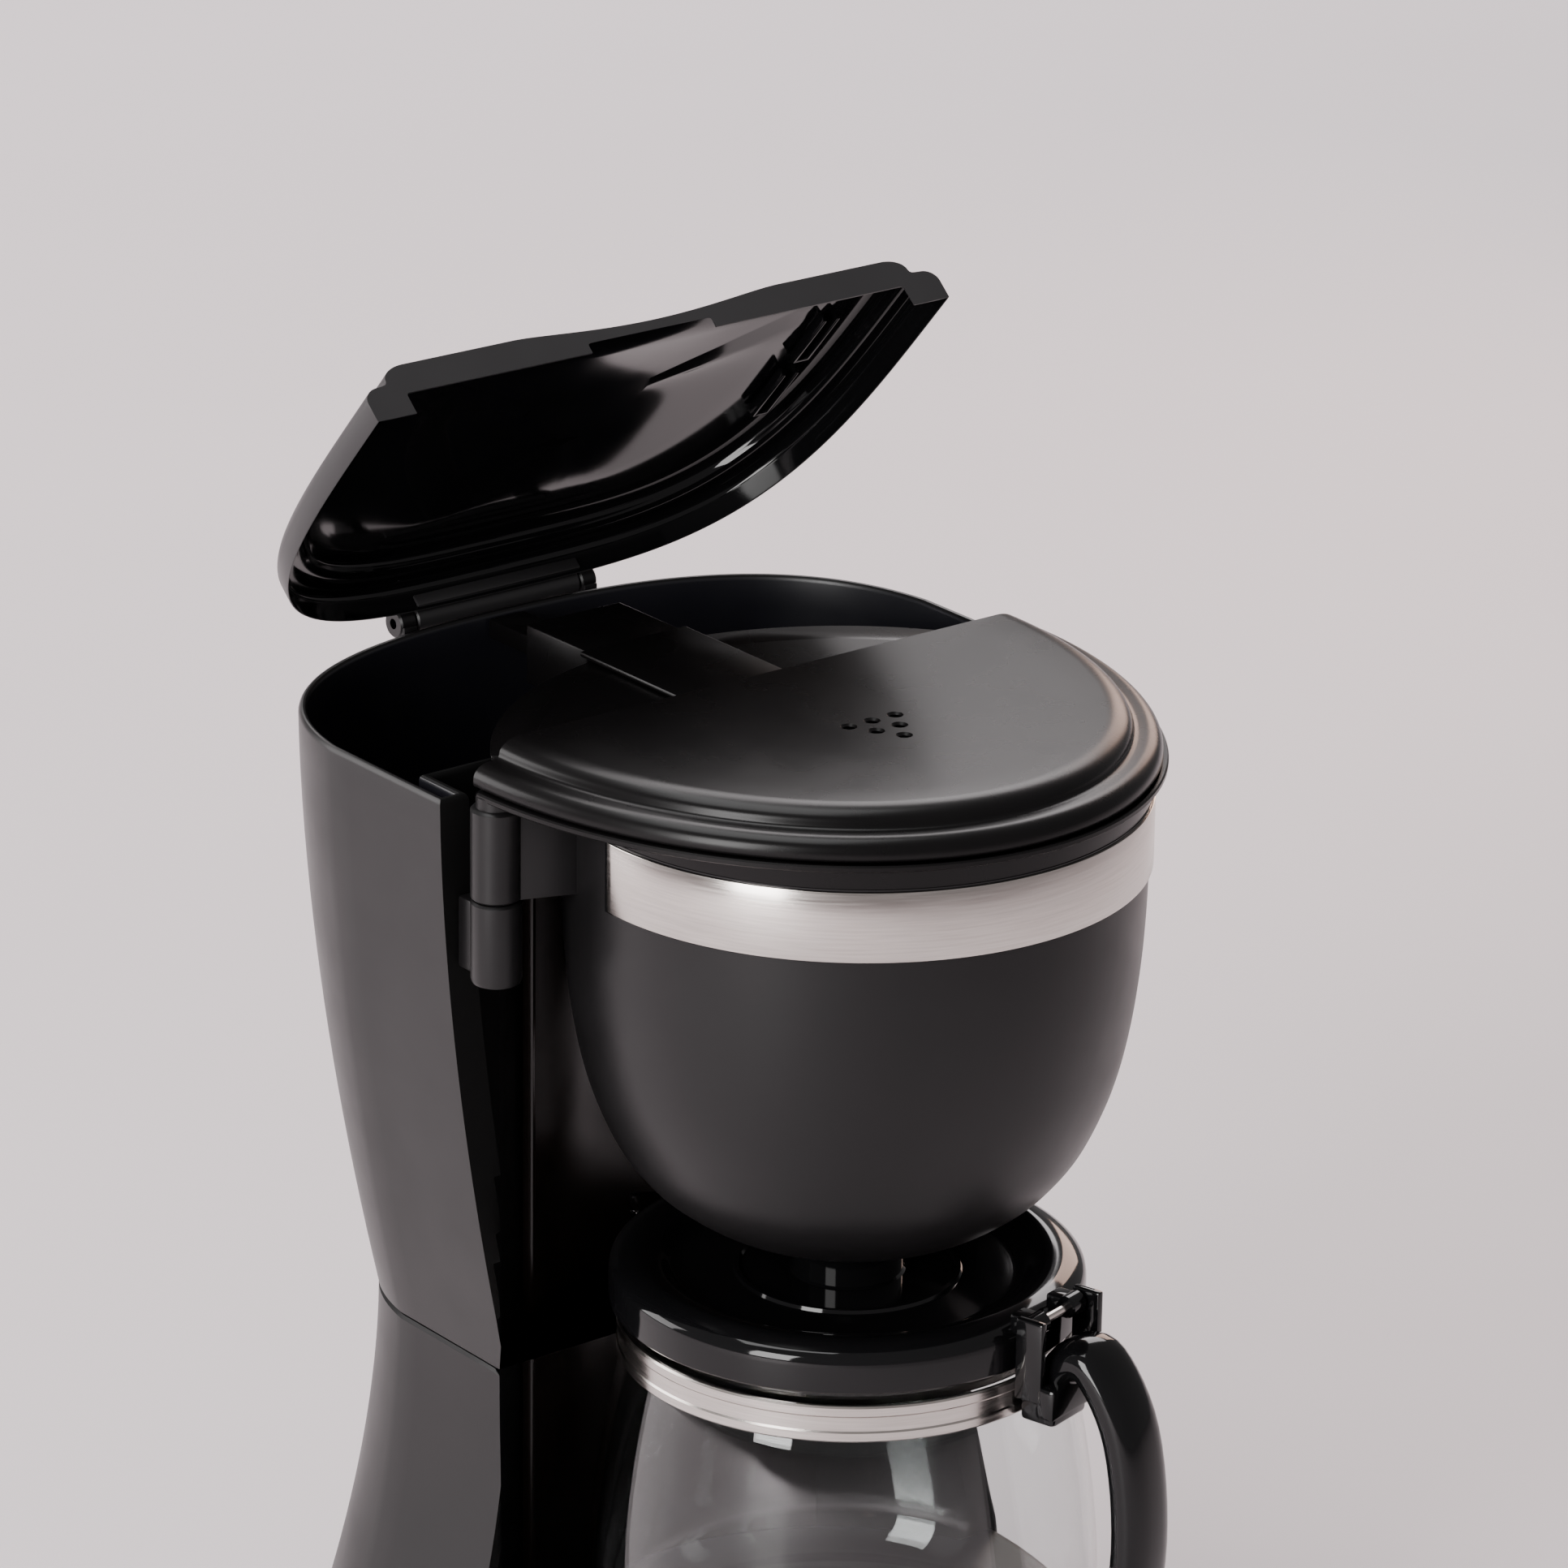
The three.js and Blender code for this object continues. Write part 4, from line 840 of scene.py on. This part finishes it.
def make_basket_bowl():
    side = smooth_path(BOWL_SIDE, 6)
    outside = [(r, BOWL_TOP - drop) for r, drop in reversed(side)]
    inside = [(r - BOWL_WALL, BOWL_TOP - drop + 1.4) for r, drop in side[:-6]]
    cup = turned("cup", [(DRAIN, BOWL_BOTTOM), *outside, (BOWL, BOWL_TOP - 8),
                         (BOWL + 2.2, BOWL_TOP - 1.8), (BOWL + 2.2, BOWL_TOP),
                         (BOWL - BOWL_WALL, BOWL_TOP), *inside, (22, BOWL_BOTTOM + 2.8),
                         (DRAIN, BOWL_BOTTOM + 2.8), (DRAIN, BOWL_BOTTOM + 0.3)], sides=160)
    cup.data.materials.append(BODY_SATIN)
    cup.data.materials.append(SATIN)
    # Faces above the band take the darker satin: painted shadow under the cover's edge.
    for face in cup.data.polygons:
        if face.center.z > (BAND_HIGH + 0.3) * MM:
            face.material_index = 1
    # A gloss black strip just proud of the bowl along the band's edges and past its end: painted shadow round the
    # band.
    shadow_strip_end = math.asin(5.6 / BOWL)
    shadow_strip_arc = [math.pi - shadow_strip_end + (math.pi + 2 * shadow_strip_end) * i / 120 for i in range(121)]
    shadow_strip_line = [((BOWL + 0.45) * math.cos(a), (BOWL + 0.45) * math.sin(a)) for a in shadow_strip_arc]
    shadow_strip_line += [((BOWL - 0.6) * math.cos(a), (BOWL - 0.6) * math.sin(a)) for a in reversed(shadow_strip_arc)]
    band_shadow_strip = lofted("band_shadow_strip", [level(shadow_strip_line, BAND_LOW - 0.55), level(shadow_strip_line, BAND_HIGH + 0.55)])
    band_shadow_strip.data.materials.append(GLOSS)
    edge = COVER_BACK - 3.4
    rim = []
    for inset, z in ((-1.1, BOWL_TOP - 1.8), (-1.5, BOWL_TOP - 1.4), (-1.5, BOWL_TOP - 0.4),
                     (-1.1, BOWL_TOP)):
        rim.append([(x, min(y, edge), z) for x, y in half_plan(False, COVER_BACK, inset)])
    flange = lofted("flange", rim)
    opening = turned("opening", [(BOWL - BOWL_WALL, BOWL_TOP - 4), (BOWL - BOWL_WALL, BOWL_TOP + 4)],
                     sides=160)
    cut(flange, opening)
    knuckle = turned("knuckle", [(KNUCKLE - 0.6, KNUCKLE_LOW), (KNUCKLE, KNUCKLE_LOW + 0.6),
                                 (KNUCKLE, RIM - 1), (KNUCKLE - 0.6, RIM - 0.4),
                                 (KNUCKLE - 1.4, RIM - 0.2), (KNUCKLE - 1.4, BOWL_TOP - 1)],
                     HINGE.x, HINGE.y, 48)
    reach = math.hypot(HINGE.x, HINGE.y) - BOWL + 1.2
    arm = block("arm", HINGE.x, HINGE.y - 4, KNUCKLE_LOW, HINGE.x + reach, HINGE.y + 4,
                BOWL_TOP - 1, 0.8)
    turned_about(arm, (HINGE.x, HINGE.y, 0), "Z", math.degrees(math.atan2(-HINGE.y, -HINGE.x)))
    # The flange takes the darker satin as well: painted shadow under the cover.
    flange.data.materials.append(SATIN)
    for part in (knuckle, arm):
        part.data.materials.append(BODY_SATIN)
    bowl = together("basket_bowl_shell", cup, band_shadow_strip, flange, knuckle, arm)
    finished(bowl, ["basket_bowl"], BODY_SATIN, 32)


make_basket_bowl()


def make_steel_band():
    start = math.asin(4 / BAND_RADIUS)
    angles = [math.pi - start + (math.pi + 2 * start) * i / 120 for i in range(121)]
    outline = [(BAND_RADIUS * math.cos(a), BAND_RADIUS * math.sin(a)) for a in angles] \
        + [((BOWL + 0.05) * math.cos(a), (BOWL + 0.05) * math.sin(a)) for a in reversed(angles)]
    band = lofted("steel_band_shell", [level(outline, BAND_LOW), level(outline, BAND_HIGH)])
    finished(bevelled(band, 0.25), ["steel_band"], STEEL, 30)


make_steel_band()


def make_hinge_bracket():
    top = KNUCKLE_LOW - 0.4
    knuckle = turned("knuckle", [(KNUCKLE - 1.5, BRACKET_LOW), (KNUCKLE - 0.4, BRACKET_LOW + 0.5),
                                 (KNUCKLE, BRACKET_LOW + 1.6), (KNUCKLE, top - 0.6),
                                 (KNUCKLE - 0.6, top)], HINGE.x, HINGE.y, 48)
    left = -HALF_WIDTH + 5
    outline = [(left, HINGE.y + 1), (left + 1.2, HINGE.y - 2.4), (HINGE.x + KNUCKLE, HINGE.y),
               (HINGE.x + KNUCKLE, WING_FRONT - 0.4), (left, WING_FRONT - 0.4)]
    plate = lofted("plate", [level(outline, BRACKET_LOW + 2), level(outline, top - 1.2)])
    bracket = together("hinge_bracket_shell", knuckle, bevelled(plate, 0.8))
    finished(bracket, ["hinge_bracket"], BODY_SATIN, 35)


make_hinge_bracket()


# ---- Brew head and water channel ----

def make_head_plate():
    top = HEAD_UNDER + 1.6
    disc = turned("disc", [(24.4, HEAD_UNDER), (81.6, HEAD_UNDER), (82, HEAD_UNDER + 0.4),
                           (82, top - 0.4), (81.6, top), (24.4, top), (24.4, HEAD_UNDER)], sides=128)
    front = [(x, y) for x, y in half_plan(False, COVER_BACK, COVER_WALL + 0.5)]
    under_cover = lofted("under_cover", [level([(x, y if y < COVER_BACK - 0.01 else 200)
                                                for x, y in front], HEAD_UNDER - 5),
                                         level([(x, y if y < COVER_BACK - 0.01 else 200)
                                                for x, y in front], HEAD_UNDER + 9)])
    modified(disc, "BOOLEAN", operation="INTERSECT", object=under_cover, solver="EXACT")
    bpy.data.objects.remove(under_cover)
    rear = sector(80, BAY + 2, math.radians(58))
    flange = bevelled(lofted("flange", [level(rear, HEAD_UNDER), level(rear, top - 0.3)]), 0.3)
    hook = sector(BAY - 2.2, BAY - 0.4, PANEL_REACH)
    lip = lofted("lip", [level(hook, HEAD_UNDER - 7), level(hook, HEAD_UNDER + 0.3)])
    finished(together("head_plate_shell", disc, flange, lip), ["head_plate"], SATIN, 30)


make_head_plate()


def make_water_channel():
    bridge = block("bridge", -CHANNEL_HALF, COVER_BACK - 1, HEAD_UNDER + 2, CHANNEL_HALF, 94.4,
                   CHANNEL_TOP, 0.6)
    well = block("well", -CHANNEL_HALF + 2, 93.8, CHANNEL_TOP - 17, CHANNEL_HALF - 2,
                 high("water_channel").y - BREW_Y - 30, CHANNEL_TOP - 0.4, 0.6)
    tail = block("tail", -6, 119, RIM - 6.5, 6, high("water_channel").y - BREW_Y, RIM - 1, 0.6)
    finished(together("water_channel_shell", bridge, well, tail), ["water_channel"], SATIN, 30)


make_water_channel()


# ---- Carafe ----

def in_carafe(piece):
    """Turns a piece modelled with the handle to the front to the carafe's own turn."""
    return turned_about(piece, (0, 0, 0), "Z", math.degrees(CARAFE_TURN))


def make_carafe_glass():
    outside = smooth_path([
        (CARAFE - 20, GLASS_FOOT + 0.6), (CARAFE - 16, GLASS_FOOT), (CARAFE - 9, GLASS_FOOT + 2.5),
        (CARAFE - 2.5, GLASS_FOOT + 11), (CARAFE, GLASS_FOOT + 26), (CARAFE - 0.8, GLASS_FOOT + 46),
        (CARAFE - 3.6, GLASS_FOOT + 68), (NECK + 1, GLASS_RIM - 18), (NECK - 1.2, GLASS_RIM - 10),
        (NECK - 0.6, GLASS_RIM - 3), (NECK, GLASS_RIM)], 6)
    inside = [(r - 2, z + (2 if z < GLASS_FOOT + 4 else 0)) for r, z in reversed(outside[:-1])]
    profile = [(0, GLASS_FOOT + 0.9), *outside, (NECK - 1, GLASS_RIM + 0.3), *inside[1:],
               (0, GLASS_FOOT + 2.9)]
    jug = turned("carafe_glass_shell", profile, sides=128)
    foot = [(-11, NECK + 4.8), (-9.2, NECK + 4.8), (0, NECK + 6.6), (9.2, NECK + 4.8), (11, NECK + 4.8),
            (0, NECK + 8.8)]
    lip = [(-9.5, NECK + 5.8), (-8, NECK + 5.8), (0, NECK + 12), (8, NECK + 5.8), (9.5, NECK + 5.8),
           (0, NECK + 14)]
    beak = bevelled(lofted("beak", [level(foot[::-1], COLLAR_HIGH + 1.4),
                                    level(lip[::-1], GLASS_RIM + 9)]), 0.4)
    sill = block("sill", -9, NECK - 1, COLLAR_HIGH + 1.6, 9, NECK + 7, COLLAR_HIGH + 3.2, 0.4)
    in_carafe(beak)
    in_carafe(sill)
    finished(together("carafe_glass_shell", jug, beak, sill), ["carafe_glass"], GLASS, 40)


make_carafe_glass()


def make_carafe_collar():
    inner = COLLAR - 1.2
    band = turned("carafe_collar_shell", [
        (inner, COLLAR_LOW), (COLLAR - 0.4, COLLAR_LOW), (COLLAR, COLLAR_LOW + 0.5),
        (COLLAR, COLLAR_LOW + 2.6), (COLLAR - 0.35, COLLAR_LOW + 3.1), (COLLAR - 0.35, COLLAR_HIGH - 3.1),
        (COLLAR, COLLAR_HIGH - 2.6), (COLLAR, COLLAR_HIGH - 0.5), (COLLAR - 0.4, COLLAR_HIGH),
        (inner, COLLAR_HIGH), (inner, COLLAR_LOW)], sides=128)
    finished(band, ["carafe_collar"], STEEL, 30)


make_carafe_collar()


def make_carafe_lid():
    dish, rim = LID_BOSS - 10, LID_BOSS - 5
    plug = NECK - 2.8
    crown = smooth_path([(42, dish), (45.5, dish + 0.5), (49.5, dish + 3.6), (53, rim - 0.2),
                         (56, rim), (59.6, rim - 1.1), (CARAFE_LID - 0.6, rim - 3),
                         (CARAFE_LID, rim - 5.4)], 5)
    body = turned("body", [
        (4.5, dish - 2.6), (plug - 0.6, dish - 2.6), (plug - 0.6, GLASS_RIM - 5), (plug, GLASS_RIM - 5),
        (plug, GLASS_RIM + 0.4), (CARAFE_LID - 0.4, GLASS_RIM + 0.4), (CARAFE_LID, GLASS_RIM + 0.9),
        *reversed(crown), (30, dish), (29.6, dish + 0.9), (28.4, dish + 0.9), (28, dish), (15.2, dish),
        (14.5, dish + 0.6), (14.5, LID_BOSS - 3.2), (13.9, LID_BOSS - 2.4), (9.6, LID_BOSS - 0.3),
        (9, LID_BOSS), (5, LID_BOSS), (4.5, LID_BOSS - 0.5), (4.5, dish - 2.6)], sides=128)
    parts = [body]
    for side in (-8, 8):
        parts.append(lying_rod("ear", 3, side - 3, side + 3, -PIVOT_OUT, PIVOT_Z, 32))
        parts.append(block("arm", side - 3, -PIVOT_OUT, PIVOT_Z - 3, side + 3, -PIVOT_OUT + 6,
                           PIVOT_Z + 2.4, 0.6))
    finished(in_carafe(together("carafe_lid_shell", *parts)), ["carafe_lid"], GLOSS, 35)


make_carafe_lid()


def make_carafe_handle():
    path = smooth_path([(PIVOT_OUT + 2, COLLAR_LOW + 6), (PIVOT_OUT + 7, COLLAR_HIGH + 6.5),
                        (PIVOT_OUT + 15, COLLAR_HIGH + 7), (PIVOT_OUT + 25, COLLAR_LOW),
                        (PIVOT_OUT + 28.5, COLLAR_LOW - 30), (PIVOT_OUT + 24, COLLAR_LOW - 60),
                        (PIVOT_OUT + 13, COLLAR_LOW - 82)], 6)
    rings = []
    for i, (out, z) in enumerate(path):
        ahead = Vector(path[min(i + 1, len(path) - 1)]) - Vector(path[max(i - 1, 0)])
        across = Vector((-ahead.y, ahead.x)).normalized()
        from_end = min(1.0, (len(path) - 1 - i) / 4)
        thick = 5.5 * (0.55 + 0.45 * math.sin(math.pi / 2 * from_end))
        wide = 9 * (0.6 + 0.4 * math.sin(math.pi / 2 * from_end))
        ring = []
        for k in range(32):
            a = math.tau * k / 32
            out_k = out + across.x * thick * signed_power(math.sin(a), 0.8)
            z_k = z + across.y * thick * signed_power(math.sin(a), 0.8)
            ring.append((wide * signed_power(math.cos(a), 0.8), -out_k, z_k))
        rings.append(ring)
    bow = lofted("bow", rings)
    saddle = block("saddle", -7.5, -PIVOT_OUT - 6, COLLAR_LOW - 1, 7.5, -COLLAR - 0.6,
                   COLLAR_HIGH + 1, 1.2)
    bridge = block("bridge", -13.8, -PIVOT_OUT - 10, COLLAR_HIGH - 6, 13.8, -PIVOT_OUT - 4.2,
                   COLLAR_HIGH + 3, 1.2)
    parts = [bow, saddle, bridge]
    for side in (-12.6, 12.6):
        parts.append(block("horn", side - 1.2, -PIVOT_OUT - 6, COLLAR_HIGH - 2, side + 1.2,
                           -PIVOT_OUT + 2.2, PIVOT_Z + 3.4, 0.6))
    finished(in_carafe(together("carafe_handle_shell", *parts)), ["carafe_handle"], GLOSS, 40)


make_carafe_handle()


# ---- Hot plate, switch and small round pieces ----

def make_hot_plate():
    plate = turned("hot_plate_shell", [
        (0, PLATE_TOP - 1.4), (HOT_PLATE - 3, PLATE_TOP - 1.4), (HOT_PLATE - 3, PLATE_TOP - 9.4),
        (HOT_PLATE - 1.6, PLATE_TOP - 9.4), (HOT_PLATE - 1.6, DECK + 0.4), (HOT_PLATE + 3.6, DECK + 0.4),
        (HOT_PLATE + 4, DECK + 0.8), (HOT_PLATE + 3.6, DECK + 1.3), (HOT_PLATE, DECK + 1.3),
        (HOT_PLATE - 0.6, PLATE_TOP - 0.5), (HOT_PLATE - 1.2, PLATE_TOP), (30, PLATE_TOP),
        (29.5, PLATE_TOP - 0.4), (28.5, PLATE_TOP - 0.4), (28, PLATE_TOP), (0, PLATE_TOP)], sides=128)
    finished(plate, ["hot_plate"], COATED, 30)


make_hot_plate()


def make_switch():
    face = low("switch_bezel").y - BREW_Y
    bezel = block("bezel", -13, face, 10.5, 13, -BASE_NOSE - 0.4, 33.5, 0.9, 3)
    throat = block("throat", -10, -BASE_NOSE - 1, 13, 10, -BASE_NOSE + 11, 31)
    body = together("switch_bezel_shell", bezel, throat)
    room = block("room", -8.4, face - 1, 14.6, 8.4, -BASE_NOSE + 9, 29.4)
    finished(cut(body, room), ["switch_bezel"], GLOSS, 35)
    outline = [(5.6, 3.2), (-5.6, 3.2), (-6.2, -4.0), (-3.1, -2.9), (0, -2.5), (3.1, -2.9), (6.2, -4.0)]
    rings = [[(x, face + 4 + y, SWITCH_Z + z) for z, y in outline] for x in (-8, 8)]
    rocker = turned_about(bevelled(lofted("rocker_switch_shell", rings), 0.5),
                          (0, face + 4, SWITCH_Z), "X", ROCKER_TILT)
    finished(rocker, ["rocker_switch"], GLOSS, 30)


make_switch()


def make_round_pieces():
    floor = BOWL_BOTTOM + BOWL_WALL + 1.4
    spout = BOWL_BOTTOM + 0.6
    side = smooth_path([(r - 3.6, BOWL_TOP - drop + 2.8) for r, drop in BOWL_SIDE[:-1]], 4)
    inner = [(r - 1.6, z + 1) for r, z in side]
    sieve = turned("filter_basket_shell", [
        (3.6, floor), (7.6, floor), (7.6, spout), (10, spout), (10, floor), (19.2, floor),
        *reversed(side), (BOWL - 3.4, BOWL_TOP - 2.5), (BOWL - 5.4, BOWL_TOP - 2.5), *inner,
        (18.2, floor + 2), (3.6, floor + 2), (3.6, floor)], sides=96)
    finished(sieve, ["filter_basket"], MATT, 35)
    dish = turned("spray_head_shell", [
        (0, HEAD_UNDER), (23, HEAD_UNDER), (24, HEAD_UNDER + 0.8), (24, HEAD_UNDER + 2.6),
        (22, HEAD_UNDER + 2.6), (21, HEAD_UNDER + 1.2), (0, HEAD_UNDER + 1.2)], sides=96)
    jets = [turned("jet", [(1.4, 0), (1.4, 500)], 13 * math.cos(math.pi * i / 3),
                   13 * math.sin(math.pi * i / 3), 24) for i in range(6)]
    finished(cut(dish, *jets), ["spray_head"], MATT, 35)
    for i in range(1, 5):
        name = f"foot_{i}"
        centre = (low(name) + high(name)) / 2
        foot = turned(f"{name}_shell", [(0, 0), (7, 0), (8.4, 0.5), (9, 1.4), (9, 3.2), (8.6, 3.6),
                                        (3, 3.6), (3, 7.5), (0, 7.5)], centre.x, centre.y - BREW_Y, 48)
        finished(foot, [name], RUBBER, 35)


make_round_pieces()


def make_drip_spring():
    """The coil over the plunger, drawn at one length, though the real one shortens as the plunger rises."""
    bottom, top = low("drip_spring").z + 0.5, high("drip_spring").z - 0.5
    rings = []
    for i in range(127):
        turn = math.tau * 3.5 * i / 126
        z = bottom + (top - bottom) * i / 126
        rings.append([((4.4 + 0.5 * math.cos(a)) * math.cos(turn),
                       (4.4 + 0.5 * math.cos(a)) * math.sin(turn), z + 0.5 * math.sin(a))
                      for a in (math.tau * k / 10 for k in range(10))])
    spring = finished(lofted("drip_spring_shell", rings), ["drip_spring"], STEEL, 50)
    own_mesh(spring)


make_drip_spring()


# ---- Floor ----

def make_floor():
    deselect()
    bpy.ops.mesh.primitive_plane_add(size=12, location=(0, 0, 0))
    floor = bpy.context.object
    floor.name = "worktop"
    material, tree, shader = new_material("pale_worktop")
    tree.links.new(tones(tree, noise(tree, 3), (0.72, 0.655, 0.675), (0.74, 0.675, 0.695)),
                   shader.inputs["Base Color"])
    shader.inputs["Roughness"].default_value = 0.6
    floor.data.materials.append(material)


make_floor()
